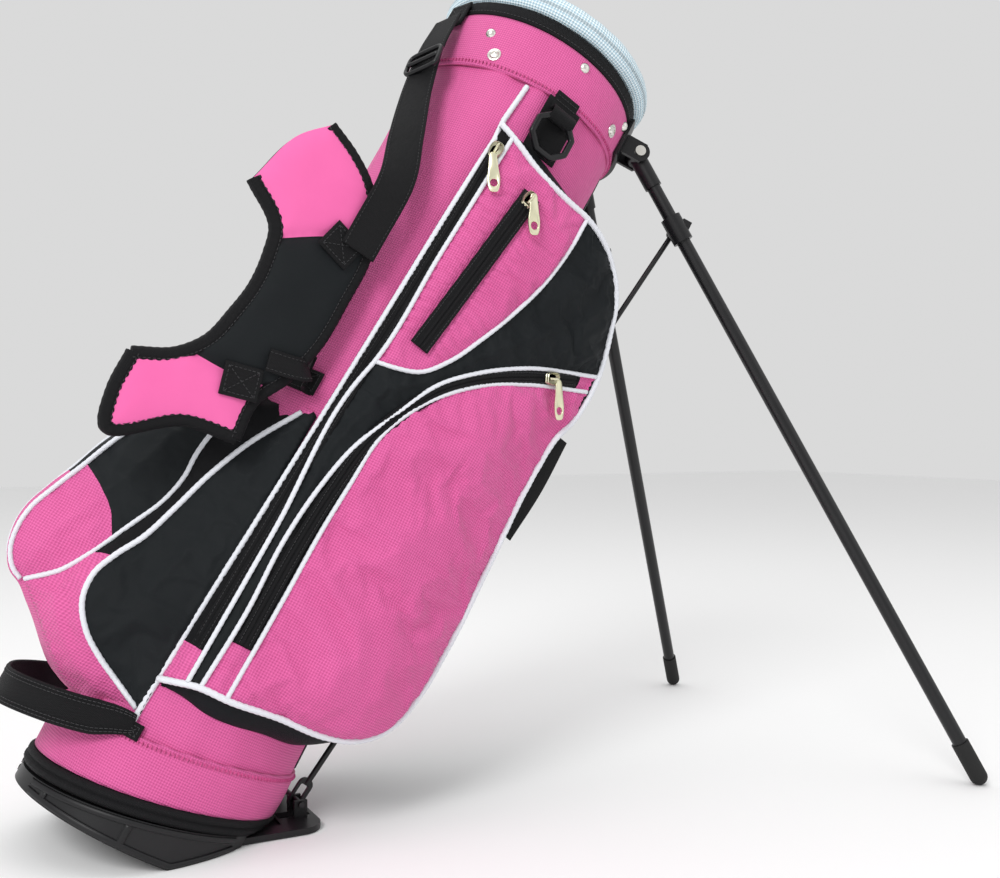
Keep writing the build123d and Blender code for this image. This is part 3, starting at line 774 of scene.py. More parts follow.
def gusset(outer, side, name):
    """Side wall of the pocket, from the outer piping to the tube, with the leg clearance kept."""
    face, _ = on_face(outer)
    tangent = unit(np.gradient(outer, axis=0))
    outward = np.column_stack([-tangent[:, 1], tangent[:, 0]])
    centre = np.array([30.0, 380.0])
    outward *= np.sign(((outer - centre) * outward).sum(axis=1))[:, None]
    run = length_along(outer)
    taper = np.clip(np.minimum(run, run[-1] - run) / 45.0, 0.05, 1.0)
    base = outer + outward * (17.0 * np.sqrt(taper))[:, None]
    u_b = np.minimum(base[:, 0], 84.0)
    over = np.clip((outer[:, 0] - 84) / 70.0, 0, 1)
    w_b = np.where(outer[:, 0] > 84, outer[:, 1] + (base[:, 1] - outer[:, 1]) * (1 - over), base[:, 1])
    v_b = np.sqrt(np.maximum(96.6 ** 2 - u_b ** 2, 0))
    foot = np.stack([u_b, v_b, w_b], -1)
    smooth = np.ones(9) / 9
    for k in range(3):
        foot[:, k] = np.convolve(np.pad(foot[:, k], 4, mode="edge"), smooth, "valid")
    rows = 9
    verts, uv = [], []
    for i in range(len(outer)):
        lower = face[i].copy()
        lower[1] -= 4.0 + 2.0 * (1 - over[i])
        for r in range(rows):
            t = r / (rows - 1)
            if r == 0:
                p = face[i]
            else:
                s = (r - 1) / (rows - 2)
                p = lower * (1 - s) + foot[i] * s
                bulge = math.sin(math.pi * s) * (2.5 - 1.0 * over[i])
                p = p + np.array([outward[i, 0], -0.25 * over[i], outward[i, 1]]) * bulge
            verts.append(p)
            uv.append((i * 0.002, t * 0.06))
    verts = np.array(verts)
    verts += noise_at(verts, 24.0, 1.0)[:, None] * np.array([0.5, 0.3, 0.5])
    faces = grid_faces(len(outer), rows, round_columns=False)
    obj = mesh_object("pocket_gusset_" + name, to_world(sided(verts, side)), faces, "dark", uv)
    modify(obj, "SOLIDIFY", thickness=CLOTH, offset=0.0)
    settle(obj, "bag", "black_binding")


def zip_band(name, line, width, side, replaced, lift=0.9):
    """Zip lying on the pocket: two tapes and a coil between them, with square ends."""
    thick = 1.2
    p, n = on_face(smooth_line(line, 2.0), lift)
    p, n = sided(p, side), sided(n, side)
    h = width / 2
    half = [(h, 0.0), (h, thick), (h - 1, thick + 0.25), (3.2, thick), (2.6, thick + 0.9),
            (0.9, thick + 1.1), (0.35, thick + 0.35)]
    section = half + [(-x, y) for x, y in half[::-1]]
    parts = [loft(name, p, n, section, "zip")]
    _, across, normal = frames_along(p, n)
    for off in (-h + 2.2, h - 2.2):
        row = p + across * off + normal * (thick + 0.1)
        parts.append(stitches(name + "_stitch", row, n, 2.2, 1.2, 0.28, "thread_black"))
    settle(join(parts, name), "bag", "zip_tape", replaced)


PULL_HALF = 17.5    # half the length of a zip puller


def zip_slider(label, origin, across, along, normal):
    """Zip slider: two shaped plates, the wedge between them and a bridge for the puller."""

    def place(points):
        return [origin + across * x + along * y + normal * z for x, y, z in points]

    outline = [(-4.2, -6), (-5.6, -3), (-5.8, 1.5), (-4.4, 5.5), (-3.6, 7), (3.6, 7), (4.4, 5.5), (5.8, 1.5),
               (5.6, -3), (4.2, -6), (1.6, -7), (-1.6, -7)]
    parts = []
    for z0, z1 in ((-1.0, 0.1), (1.5, 2.8)):
        verts = []
        for scale, z in ((0.92, z0), (1.0, z0 + 0.3), (1.0, z1 - 0.4), (0.88, z1)):
            verts += place([(x * scale, y * scale, z) for x, y in outline])
        k = len(outline)
        caps = [tuple(range(k)), tuple(range(3 * k, 4 * k))[::-1]]
        parts.append(mesh_object("slider_plate", to_world(verts), caps + grid_faces(4, k), "gold"))
    wedge = place([(x, y, z) for z in (0.0, 1.6) for x, y in ((-2.2, -4), (2.2, -4), (2.2, -1), (-2.2, -1))])
    faces = [(0, 1, 2, 3), (7, 6, 5, 4), (0, 4, 5, 1), (1, 5, 6, 2), (2, 6, 7, 3), (3, 7, 4, 0)]
    parts.append(mesh_object("slider_neck", to_world(wedge), faces, "gold", smooth=False))
    bridge = place([(0, -5.0, 2.6), (0, -3.8, 4.6), (0, 0.0, 5.2), (0, 3.6, 4.4), (0, 4.6, 2.6)])
    parts.append(loft("slider_bridge", smooth_line(bridge, 0.7), normal, flat_section(2.4, 1.3), "gold"))
    settle(join(parts, "zip_slider_" + label), "slider_" + label, "nickel", "slider_" + label)


def slider_set(label, line, side, lift=1.0, tilt=0.0):
    """Zip slider near the start of a zip, and its puller hanging from it, tilted off the cloth."""
    start, ahead = 5, 11
    p, n = on_face(smooth_line(line, 1.0), 0.9 + lift)
    origin, normal = sided(p[start], side), sided(n[start], side)
    along = unit(sided(p[ahead] - p[start], side))
    zip_slider(label, origin + normal * 1.6, np.cross(along, normal), along, normal)

    low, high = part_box("pull_" + label)
    middle = from_world((np.array(list(low)) + np.array(list(high))) / 2)
    gravity = np.array([math.sin(LEAN), 0.0, -math.cos(LEAN)])
    hang = unit(gravity - normal * gravity.dot(normal))
    across = np.cross(hang, normal)
    hinge = middle - hang * PULL_HALF
    c, s = math.cos(tilt), math.sin(tilt)
    hang, normal = hang * c + normal * s, normal * c - hang * s
    pull_plate(label, hinge + hang * PULL_HALF + normal * 0.4, hang, across, normal)


def pull_plate(label, centre, hang, across, normal):
    """Flat puller with a waist and a round hole near its free end."""
    count = 48
    outer, hole = [], []
    for i in range(count):
        a = 2 * math.pi * i / count
        y = PULL_HALF * math.sin(a)
        half = 4.0 + 1.7 / (1 + math.exp(-(y - 1) / 2.5))
        squareness = abs(math.cos(a)) ** 0.45 * math.copysign(1, math.cos(a))
        outer.append((half * squareness, y))
        hole.append((3.1 * math.cos(a), 9.6 + 3.4 * math.sin(a)))
    verts = []
    for ring, scale, z in ((outer, 1.0, -0.5), (outer, 1.0, 0.5), (outer, 0.9, 0.95), (hole, 1.15, 0.95),
                           (hole, 1.0, 0.5), (hole, 1.0, -0.5), (hole, 1.15, -0.95), (outer, 0.9, -0.95)):
        mid = np.mean(ring, axis=0)
        for x, y in ring:
            q = mid + (np.array((x, y)) - mid) * (scale if ring is hole else 1 - (1 - scale) * 0.6)
            verts.append(centre + across * q[0] + hang * q[1] + normal * z)
    faces = grid_faces(8, count, round_rows=True)
    plate = mesh_object("zip_pull_" + label, to_world(verts), faces, "gold")
    settle(plate, "pull_" + label, "nickel", "pull_" + label)


# each zip's centre line on the pocket's face, from its closed end, as (front, along)
MAIN_ZIP = [(-34.5, 622), (-38.0, 515), (-43.0, 406), (-47.0, 300), (-50.5, 152)]
UPPER_ZIP = [(8, 600), (-3, 520), (-15, 436)]
CURVED_ZIP = [(132, 495), (81, 467), (45, 442), (18, 415), (1, 387), (-14, 350), (-20, 306), (-23, 260),
              (-24, 168)]
side_pocket(1)
side_pocket(-1)
zip_band("zip_main", MAIN_ZIP, 11.0, 1, "zip_tape_main", lift=0.3)
zip_band("zip_upper", UPPER_ZIP, 17.0, 1, "zip_tape_upper", lift=3.4)
zip_band("zip_curved", CURVED_ZIP, 12.0, 1, "zip_tape_curved")
zip_band("zip_far", MAIN_ZIP, 11.0, -1, "zip_tape_far", lift=0.3)
slider_set("main", MAIN_ZIP, 1)
slider_set("upper", UPPER_ZIP, 1, 3.0)
slider_set("curved", [(110, 483.5), (81, 467), (45, 442)], 1, 2.2, 0.14)
slider_set("far", MAIN_ZIP, -1)


# ---------------------------------------------------------------- tube, cuffs, rim
def angle_ring(a0, a1, step=2.0):
    """Angles from the front in radians, from a0 to a1 degrees."""
    return np.radians(np.linspace(a0, a1, max(int(round((a1 - a0) / step)), 1) + 1))


def seam_nearness(u, w, top):
    """1 at the seams of the tube's two cuffs, falling off along the tube between them."""
    from_low = w - top - TOP_SEAM[1] * u if w > 400 else w - 84 - LOW_SEAM[1] * u
    from_top = 694 + TOP_SEAM[1] * u - w
    return math.exp(-max(from_low, 0) / 26.0) + math.exp(-max(from_top, 0) / 22.0)


def sleeve(name, radius, low, high, material, thickness, a0=-180, a1=180, crease=0.6, seed=0.0, rows=None,
           bulge=0.0, folds=0.0):
    """Cloth round the tube between two slanted edges; each edge is (height on the axis, slope)."""
    angles = angle_ring(a0, a1)
    whole = abs(a1 - a0) > 359
    if whole:
        angles = angles[:-1]
    rows = rows or max(int((high[0] - low[0]) / 4.0), 6)
    verts, uv = [], []
    for r in range(rows + 1):
        t = r / rows
        for a in angles:
            u = radius * math.cos(a)
            w = (1 - t) * (low[0] + low[1] * u) + t * (high[0] + high[1] * u)
            rad = radius + bulge * math.sin(math.pi * t)
            fade = math.sin(math.pi * t) ** 0.5
            rough = noise.noise(Vector((math.cos(a) * 2.2 + seed, math.sin(a) * 2.2, w / 60.0)))
            fine = noise.noise(Vector((math.cos(a) * 6.0 + seed, math.sin(a) * 6.0, w / 22.0 + seed)))
            rad += crease * fade * (rough + 0.35 * fine)
            if folds:
                gathers = math.sin(11 * a + 2.5 * math.sin(3 * a + seed)) * (0.6 + 0.5 * rough)
                rad += folds * seam_nearness(u, w, high[0]) * gathers
            verts.append((rad * math.cos(a), rad * math.sin(a), w))
            uv.append((a * radius * MM, w * MM))
    faces = turned(grid_faces(rows + 1, len(angles), round_columns=whole))
    obj = mesh_object(name, to_world(verts), faces, material, uv)
    modify(obj, "SOLIDIFY", thickness=thickness, offset=-1.0)
    return obj


def ring_line(radius, height, slope):
    """Slanted ring round the tube, and the outward direction at its points."""
    a = angle_ring(-180, 180, 1.0)
    u = radius * np.cos(a)
    outward = np.stack([np.cos(a), np.sin(a), 0 * a], -1)
    return np.stack([u, radius * np.sin(a), height + slope * u], -1), outward


def ring_stitches(name, radius, height, slope, material="thread"):
    """Row of stitches all round the tube."""
    line, n = ring_line(radius, height, slope)
    return stitches(name, line, n, 2.4, 1.5, 0.3, material)


def cuff(name, low, high, stitched_at, replaced, crease, seed, rows):
    """Band of cloth round the tube with a row of stitches along its seam."""
    cloth = sleeve(name, CUFF_R, low, high, "pink", 0.002, crease=crease, seed=seed, rows=rows, bulge=0.9)
    row = ring_stitches("s", CUFF_R + 0.2, *stitched_at)
    settle(join([cloth, row], name), "bag", "pink_fabric", replaced)


def make_tube():
    """Cloth of the tube, its lining, the front panel and both cuffs."""
    tube = sleeve("tube_shell", TUBE_R, (TUBE_END, TRIM_SLOPE), (TUBE_TOP - 1, 0), "pink", 0.0024, crease=1.5,
                  seed=1.0, rows=170, folds=1.1)
    settle(tube, "bag", "pink_fabric", "bag_tube")
    lining = sleeve("tube_lining", TUBE_R - 2.9, (60, 0.3), (752, 0), "lining", 0.0006, crease=0.3, seed=4.0,
                    rows=60)
    settle(lining, "bag", "black_binding")
    panel = sleeve("front_cloth", 97.2, (97, 0), (690, 0), "dark", 0.001, -30, 30, crease=0.5, seed=6.0)
    settle(panel, "bag", "black_binding", "front_panel")
    under = (TOP_SEAM[0] + 4, TOP_SEAM[1])
    cuff("top_cuff_cloth", TOP_SEAM, (TUBE_TOP - 13, 0), under, "top_cuff", 1.0, 2.0, 16)
    cuff("bottom_cuff_cloth", LOW_EDGE, LOW_SEAM, (LOW_SEAM[0] - 3.5, LOW_SEAM[1]), "bottom_cuff", 0.9, 3.0, 14)


def revolve_ring(name, section, height, slope, ripple, waves):
    """Ring of tape with a closed section of (radius, height) in mm, with a small ripple round it."""
    count = 180
    verts, uv = [], []
    mid_r = sum(s[0] for s in section) / len(section)
    for i in range(count):
        a = 2 * math.pi * i / count
        grow = ripple * (0.6 * math.sin(waves * a + 1.7 * math.sin(5 * a))
                         + 0.6 * noise.noise(Vector((math.cos(a) * 6, math.sin(a) * 6, height / 50.0))))
        for j, (r, h) in enumerate(section):
            rad = r + grow * (r - mid_r + 2) / 4
            u = rad * math.cos(a)
            verts.append((u, rad * math.sin(a), height + h + slope * u + 0.35 * grow))
            uv.append((a * mid_r * MM, j * 0.002))
    faces = grid_faces(count, len(section), round_rows=True)
    return mesh_object(name, to_world(verts), faces, "binding", uv)


def make_rim():
    """Puckered binding over the rim."""
    section = [(96.4, -12), (98.6, -12.6), (99.6, -11.6), (99.9, -6), (100.2, -0.5), (98.5, 1.2), (96.4, 1.4),
               (95.9, -4)]
    binding = revolve_ring("rim_binding", section, TUBE_TOP, 0.0, 0.35, 90)
    row = ring_stitches("s", 100.0, TUBE_TOP - 9.5, 0.0, "thread_black")
    settle(join([binding, row], "rim_binding"), "bag", "black_binding", "cuff_binding")


def make_roll():
    """Padded mesh roll on the rim, a little fuller at the front, with small wrinkles."""
    count, k = 200, 20
    verts, uv = [], []
    for i in range(count):
        a = 2 * math.pi * i / count
        front = 0.5 + 0.5 * math.cos(a - 0.2)
        thick = 11.4 + 0.8 * noise.noise(Vector((math.cos(a) * 2, math.sin(a) * 2, 3.0)))
        centre_r, centre_w = 95.6 + 1.2 * front, TUBE_TOP + 12 + front
        for j in range(k):
            b = 2 * math.pi * j / k
            wrinkle = 0.35 * noise.noise(Vector((math.cos(a) * 9, math.sin(a) * 9, 2 * math.cos(b))))
            r = centre_r + (8.3 + 1.2 * front + wrinkle) * math.cos(b)
            w = centre_w + (thick + wrinkle) * math.sin(b) * (1.0 if math.sin(b) > 0 else 0.92)
            verts.append((r * math.cos(a), r * math.sin(a), w))
            uv.append((a * 96 * MM, b * 10 * MM))
    roll = mesh_object("mesh_roll", to_world(verts), grid_faces(count, k, round_rows=True), "mesh", uv)
    settle(roll, "bag", "mesh", "mesh_collar", pad=0.8)


def make_trim():
    """Puckered tape over the seam between cloth and base."""
    section = [(96.4, -13), (99.2, -13.2), (101.3, -10.5), (101.3, -8.0), (99.6, -6.6), (101.0, -5.2),
               (101.0, -2.2), (99.2, -0.4), (96.4, -0.4)]
    band = revolve_ring("base_band", section, 43, 0.155, 0.25, 70)
    clip_floor(band, 8.4)
    settle(band, "bag", "black_binding", "base_trim")


def clip_floor(obj, gap):
    """Lifts any point that would come under the wall of the base to just over it."""
    for v in obj.data.vertices:
        v.co.z = max(v.co.z, gap * MM)


def base_edge(u):
    """Lowest edge of the cup's wall: level at the back, cut by the bevel at the front."""
    return max(0.0, (u - BEVEL_START) * math.tan(LEAN))


def base_ledge(high):
    """Ledge moulded round the cup, high under the trim or low along the edge, where there is room."""
    section = [(98.8, 0.0), (100.3, 0.5), (100.7, 1.4), (100.7, 3.4), (100.3, 4.4), (98.8, 5.0)]
    count = 180
    verts, uv = [], []
    for i in range(count):
        a = 2 * math.pi * i / count
        for r, h in section:
            u = r * math.cos(a)
            top = LOW_EDGE[0] - 14.6 + TRIM_SLOPE * u - 5.2
            w = top + h if high else min(base_edge(u) + 0.9 + h, top + h)
            verts.append((u, r * math.sin(a), w))
            uv.append((a * 0.1, h * MM))
    faces = []
    for f in grid_faces(count, len(section), round_rows=True):
        u = np.mean([verts[i][0] for i in f])
        if base_edge(u) + 7 < LOW_EDGE[0] - 20 + TRIM_SLOPE * u:
            faces.append(f)
    used = sorted({i for f in faces for i in f})
    index = {v: i for i, v in enumerate(used)}
    faces = [[index[i] for i in f] for f in faces]
    return mesh_object("rib", to_world(np.array(verts)[used]), faces, "base", np.array(uv)[used])


def make_base_ribs():
    """Raised ledges moulded round the cup, with posts between them, which frame its sunk panels."""
    parts = [base_ledge(False), base_ledge(True)]
    for angle in (-150, -108, 108, 150):
        (u, v, _), n = tube_point(angle, 0, 99.0)
        line = even(np.array([(u, v, base_edge(u) + 2.0), (u, v, 24 + TRIM_SLOPE * u)]), 2.0)
        parts.append(loft("post", line, n, [(3.0, -0.6), (2.6, 1.3), (-2.6, 1.3), (-3.0, -0.6)], "base"))
    settle(join(parts, "base_ledges"), "bag", "base_plastic")


def make_divider_pad():
    """Padded sleeve over the divider's bar."""
    line = smooth_line([(0, -79, 761), (0, -40, 762), (0, 0, 762), (0, 40, 762), (0, 79, 761)], 3.0)
    travel = np.linspace(-1, 1, len(line))
    plump = 1.0 + 0.05 * np.sin(travel * 21) - 0.12 * np.abs(travel) ** 6 + 0.25 * np.exp(-(travel * 7) ** 2)
    section = [(8.2 * math.cos(t), 15.5 * math.sin(t)) for t in np.linspace(0, 2 * math.pi, 20, endpoint=False)]
    pad = loft("divider_sleeve", line, UP, section, "mesh", scale=plump)
    settle(pad, "bag", "mesh", pad=0.7)


def tube_point(angle, w, radius):
    """Point on a ring round the tube and its outward direction; the angle is from the front."""
    a = math.radians(angle)
    n = np.array([math.cos(a), math.sin(a), 0.0])
    return n * radius + UP * w, n


make_tube()
make_rim()
make_roll()
make_trim()
make_base_ribs()
make_divider_pad()


# ---------------------------------------------------------------- ball pocket
BALL_SEAM = [(-62, 349), (-83, 311), (-100, 269), (-110, 235), (-120, 205), (-131, 185), (-138, 166),
             (-136, 147), (-122, 127), (-104, 114), (-85, 104), (-62, 92)]           # front, along
LID_SEAM = [(-96, 356), (-106, 330), (-112, 300), (-114, 279), (-113, 263), (-117, 239), (-130, 209),
            (-143, 179), (-155, 156), (-171, 138)]
LID_DEPTH = ([138, 156, 179, 210, 279, 360], [8, 30, 42, 48, 52, 52])   # along, across
BACK_LINE = [(-72, 357), (-98, 354), (-128, 327), (-150, 296), (-167, 263), (-178, 233), (-188, 207),
             (-194, 189), (-195, 171), (-190, 152), (-181, 141), (-171, 136), (-158, 125), (-131, 99),
             (-112, 85), (-98, 80), (-62, 82)]
LID_SPLIT = [(-176, 236), (-160, 226), (-148, 216), (-141, 204), (-136, 194)]
ROOT_LINE = [(-60, 90), (-59, 162), (-55, 261), (-53, 352)]             # where it meets the tube
ROOT_DEPTH = ([90, 162, 261, 352], [78, 81, 85.5, 82])
LOW_BACK = 136.5                                                        # top of the pocket's underside
BALL_NORMAL = np.array([-0.42, 0.9, 0.0])                               # its side faces' direction


def relax(verts, faces, fixed):
    """Moves free points to the middle of their neighbours in depth, so the cloth spans its seams."""
    a, b = [], []
    for f in faces:
        for i in range(len(f)):
            a += [f[i], f[(i + 1) % len(f)]]
            b += [f[(i + 1) % len(f)], f[i]]
    a, b = np.array(a), np.array(b)
    count = np.bincount(a, minlength=len(verts)).astype(float)
    depth = verts[:, 1].copy()
    for _ in range(400):
        total = np.bincount(a, weights=depth[b], minlength=len(verts))
        depth = np.where(fixed, depth, total / np.maximum(count, 1))
    verts = verts.copy()
    verts[:, 1] = depth
    return verts


def seam_depths(flat, seams):
    """Depth of each point that lies on a seam, else nan; seams is a list of (line, depths)."""
    out = np.full(len(flat), np.nan)
    for line, depth in seams:
        d = np.linalg.norm(flat[:, None, :] - line[None], axis=2)
        k = d.argmin(axis=1)
        hit = d[np.arange(len(flat)), k] < 0.8
        out[hit] = depth[k[hit]]
    return out


def ball_depths(back, seam, lid):
    """Half width of the ball pocket along its back line, its side seam and its lid seam."""
    top = np.clip((back[:, 1] - 150) / 150, 0, 1)
    underside = (back[:, 1] < LOW_BACK) & (back[:, 0] > -175)
    at_back = np.where(underside, 8 + 26 * np.clip((136 - back[:, 1]) / 40, 0, 1), 6.0 + 16 * top)
    near_tube = np.clip((back[:, 0] + 100) / 38.0, 0, 1)
    at_back = at_back * (1 - near_tube) + 52 * near_tube
    at_seam = np.where(seam[:, 0] > -85, 62 + (seam[:, 0] + 85) / 23.0 * 9, 62.0)
    return at_back, at_seam, np.interp(lid[:, 1], *LID_DEPTH)


def ball_cloths(centres, seam, lid, back, root):
    """Which cloth each triangle of the pocket's side is made of."""
    in_side = inside(centres, np.vstack([seam, root]))
    strip = np.vstack([seam[seam[:, 1] > 183][::-1], [(-60, 380)], lid[lid[:, 1] > 179]])
    in_strip = inside(centres, strip) & ~in_side
    lid_back = back[(back[:, 1] > 137) & (back[:, 0] < -97)]
    in_lid = inside(centres, np.vstack([lid, lid_back[::-1]])) & ~in_side & ~in_strip
    split = smooth_line(LID_SPLIT, 1.5)
    order = np.argsort(split[:, 0])
    above = centres[:, 1] > np.interp(centres[:, 0], split[order, 0], split[order, 1])
    cloth = np.full(len(centres), PINK)
    cloth[in_side] = DARK
    cloth[in_strip] = BLACK
    cloth[in_lid & above] = DARK
    return cloth


def ball_back(back):
    """Strip of cloth across the pocket's back, crowned in the middle."""
    rows = 21
    verts, uv, cloth = [], [], []
    for i, p in enumerate(back):
        t = back[min(i + 1, len(back) - 1)] - back[max(i - 1, 0)]
        out = np.array([t[2], 0, -t[0]])
        up = 1 if p[2] > 240 else -1
        if out[2] * up < out[0]:
            out = -out
        out = out / (np.linalg.norm(out) + 1e-9)
        for r in range(rows):
            s = 1 - 2 * r / (rows - 1)
            crown = 1 - s * s
            push = 3.0 * crown * np.clip((-p[0] - 62) / 60.0, 0, 1)
            push += 1.2 * noise.noise(Vector((p[0] / 30, s * 2, p[2] / 30))) * crown
            verts.append((p[0] + out[0] * push, p[1] * s, p[2] + out[2] * push))
            uv.append((i * 0.0015, s * p[1] * MM))
    for p in back[:-1]:
        cloth += [DARK if p[2] > 226 and p[0] < -60 else PINK] * (rows - 1)
    faces = grid_faces(len(back), rows, round_columns=False)
    strip = mesh_object("ball_back", to_world(verts), faces, "pink", uv)
    paint(strip, cloth, ["dark", "pink", "black"])
    return strip


def ball_piping(seam, lid, back):
    """Piping on both sides; each line is given in three dimensions."""
    pipes = []
    above = back[(back[:, 2] > 137) & (back[:, 0] < -97)]
    outward = np.stack([-np.abs(above[:, 0] + 80), np.full(len(above), 40.0), (above[:, 2] - 230) * 0.4], -1)
    outward = unit(outward)
    for side in (1, -1):
        for line, radius in ((seam, 2.2), (lid, 2.0)):
            hint = sided(np.tile(BALL_NORMAL, (len(line), 1)), side)
            pipes.append(cord_piping("ball_piping", sided(line + BALL_NORMAL * 0.8, side), hint, radius))
        pipes.append(cord_piping("ball_piping", sided(above + outward * 0.8, side), sided(outward, side), 2.0))
    settle(join(pipes, "ball_pocket_piping"), "bag", "zip_tape")


def make_ball_pocket():
    """The ball pocket: sewn sides with a lid, the back strip and its piping."""
    seam, lid, back, root = (smooth_line(line, 1.5) for line in (BALL_SEAM, LID_SEAM, BACK_LINE, ROOT_LINE))
    outline = np.vstack([root, back])
    clipped = [line[inside(line, outline)] for line in (seam, lid)]
    strip_end = np.array([(-143, 179), (-133, 183)], float)
    flat, faces = triangulate(outline, clipped + [smooth_line(LID_SPLIT, 1.5), strip_end], 3.0)
    at_back, at_seam, at_lid = ball_depths(back, seam, lid)
    at_root = np.interp(root[:, 1], *ROOT_DEPTH)
    depth = seam_depths(flat, [(back, at_back), (root, at_root), (seam, at_seam), (lid, at_lid)])
    fixed = ~np.isnan(depth)
    verts = np.stack([flat[:, 0], np.where(fixed, depth, 55.0), flat[:, 1]], -1)
    verts = relax(verts, faces, fixed)
    d = nearest(flat, [back, root] + clipped)
    wave = 1.6 * noise_at(verts, 34.0, 2.0, (1, 1, 0.6))
    rise = 5.0 * (1 - np.exp(-d / 12.0)) + (1 - np.exp(-d / 8.0)) * wave
    verts = verts + BALL_NORMAL * rise[:, None]
    pinned = (d < 0.8) | (nearest(flat, [back, root]) < 0.8)
    verts = cloth_swell(verts, faces, pinned, 1.2, 0.02, 22, 5.0)
    centres = np.array([flat[list(f)].mean(axis=0) for f in faces])
    cloth = ball_cloths(centres, seam, lid, back, root)
    sheets = []
    for side in (1, -1):
        pts = sided(verts, side)
        turned_faces = orient(pts, faces, np.array([-0.3, side, 0.0]))
        sheet = mesh_object("ball_panels", to_world(pts), turned_faces, "pink", flat * MM)
        paint(sheet, cloth, ["dark", "pink", "black"])
        sheets.append(sheet)
    back_line = np.stack([back[:, 0], at_back, back[:, 1]], -1)
    shell = join(sheets + [ball_back(back_line)], "ball_pocket_cloth")
    modify(shell, "WELD", merge_threshold=0.0004)
    modify(shell, "SOLIDIFY", thickness=CLOTH, offset=-1.0)
    settle(shell, "bag", "pink_fabric", "ball_pocket")
    ball_piping(np.stack([seam[:, 0], at_seam, seam[:, 1]], -1), np.stack([lid[:, 0], at_lid, lid[:, 1]], -1),
                back_line)


make_ball_pocket()


# ---------------------------------------------------------------- shoulder strap
# edges of the pad in side view, as (front, along), one after another round it
PAD_INNER = [(-101, 302), (-103, 334), (-90, 362), (-81, 398), (-80, 440), (-82, 484), (-90, 508),
             (-112, 535), (-130, 546), (-158, 557)]
PAD_UPPER_END = [(-158, 557), (-176, 534), (-190, 482)]
PAD_OUTER = [(-190, 482), (-156, 458), (-151, 440), (-148, 410), (-151, 386), (-158, 356), (-172, 337),
             (-200, 320)]
PAD_LOWER_END = [(-200, 320), (-198, 288), (-190, 264), (-140, 295), (-101, 302)]
PAD_FACES = (89.0, 82.0)       # v of its outer and inner cloth
TAB_V = 94.6                   # v of the webbing tabs on it


def strap_pad():
    """Padded cloth in three panels, its binding and the tabs that hold the webbing."""
    inner, upper_end, outer, lower_end = (smooth_line(line, 1.5) for line in
                                          (PAD_INNER, PAD_UPPER_END, PAD_OUTER, PAD_LOWER_END))
    ring = np.vstack([inner, upper_end[1:], outer[1:], lower_end[1:-1]])
    seam_top = smooth_line([(-84, 492), (-116, 478), (-152, 452)], 1.5)
    seam_low = smooth_line([(-96, 350), (-126, 344), (-166, 342)], 1.5)
    clipped = [line[inside(line, ring)] for line in (seam_top, seam_low)]
    flat, faces = triangulate(ring, clipped, 3.2)
    to_edge = nearest(flat, [ring])
    d = np.minimum(to_edge, nearest(flat, clipped))
    centres = np.array([flat[list(f)].mean(axis=0) for f in faces])
    middle = inside(centres, np.vstack([[(-60, 500)], seam_top, [(-200, 430), (-200, 346)], seam_low[::-1],
                                        [(-60, 352)]]))
    parts = []
    for side, v, amount in ((1, PAD_FACES[0], 4.2), (-1, PAD_FACES[1], 3.4)):
        pts = np.stack([flat[:, 0], np.full(len(flat), v), flat[:, 1]], -1)
        waves = (1 - np.exp(-to_edge / 6.0)) * 0.9 * noise_at(pts, 30.0, 3.0 + side)
        pts[:, 1] += amount * (1 - np.exp(-d / 7.0)) * side + waves + pad_bend(flat)
        sheet = mesh_object("pad_face", to_world(pts), orient(pts, faces, side * ACROSS), "pad_pink", flat * MM)
        paint(sheet, np.where(middle, 1, 0) if side > 0 else np.ones(len(faces), int), ["pad_pink", "dark"])
        parts.append(sheet)
    parts.append(pad_wall(ring))
    settle(join(parts, "strap_pad_cloth"), "shoulder_strap", "pad", "strap_pad", pad=0.75)

    trims = []
    for line in (inner, outer, lower_end):
        trims += pad_binding(line, ring)
    settle(join(trims, "strap_pad_binding"), "shoulder_strap", "black_binding")
    tabs = box_stitched_tab((-106, 476), (-0.97, 0.24))
    tabs += box_stitched_tab((-121, 341), (-0.96, -0.28))
    settle(join(tabs, "strap_pad_tabs"), "shoulder_strap", "webbing")


def pad_wall(ring):
    """Cloth between the pad's two faces, round its edge."""
    rows = 4
    verts, uv = [], []
    for i, p in enumerate(ring):
        for v in np.linspace(*PAD_FACES, rows):
            verts.append((p[0], v + pad_bend(p[None])[0], p[1]))
            uv.append((i * 0.0015, v * MM))
    faces = turned(grid_faces(len(ring), rows, round_rows=True, round_columns=False))
    return mesh_object("pad_wall", to_world(verts), faces, "dark", uv)


def pad_binding(line, ring):
    """Puckered tape folded over one edge of the pad, with a row of stitches on either face."""
    step = 1.5
    dense = even(line, step)
    p = np.stack([dense[:, 0], 85.5 + pad_bend(dense), dense[:, 1]], -1)
    away = unit(np.stack([-np.gradient(dense[:, 1]), np.gradient(dense[:, 0])], -1))
    away[inside(dense + away * 3, ring)] *= -1
    n = np.stack([away[:, 0], np.zeros(len(dense)), away[:, 1]], -1)
    travel = np.arange(len(dense)) * step
    pucker = 1 + 0.035 * np.sin(travel / 0.9 + 1.5 * np.sin(travel / 17.0))
    section = [(-5.6, -6.0), (-5.9, -2), (-5.6, 1.2), (-4.2, 3.0), (-2, 3.9), (0, 4.2), (2, 3.9), (4.2, 3.0),
               (5.6, 1.2), (5.9, -2), (5.6, -6.0), (4.4, -6.4), (0, -5.0), (-4.4, -6.4)]
    parts = [loft("pad_binding", p, n, section, "binding", scale=pucker)]
    for side in (-1, 1):
        row = p - n * 4.6 + side * 6.1 * ACROSS
        parts.append(stitches("pad_binding", row, side * ACROSS, 2.4, 1.4, 0.3, "thread_black"))
    return parts


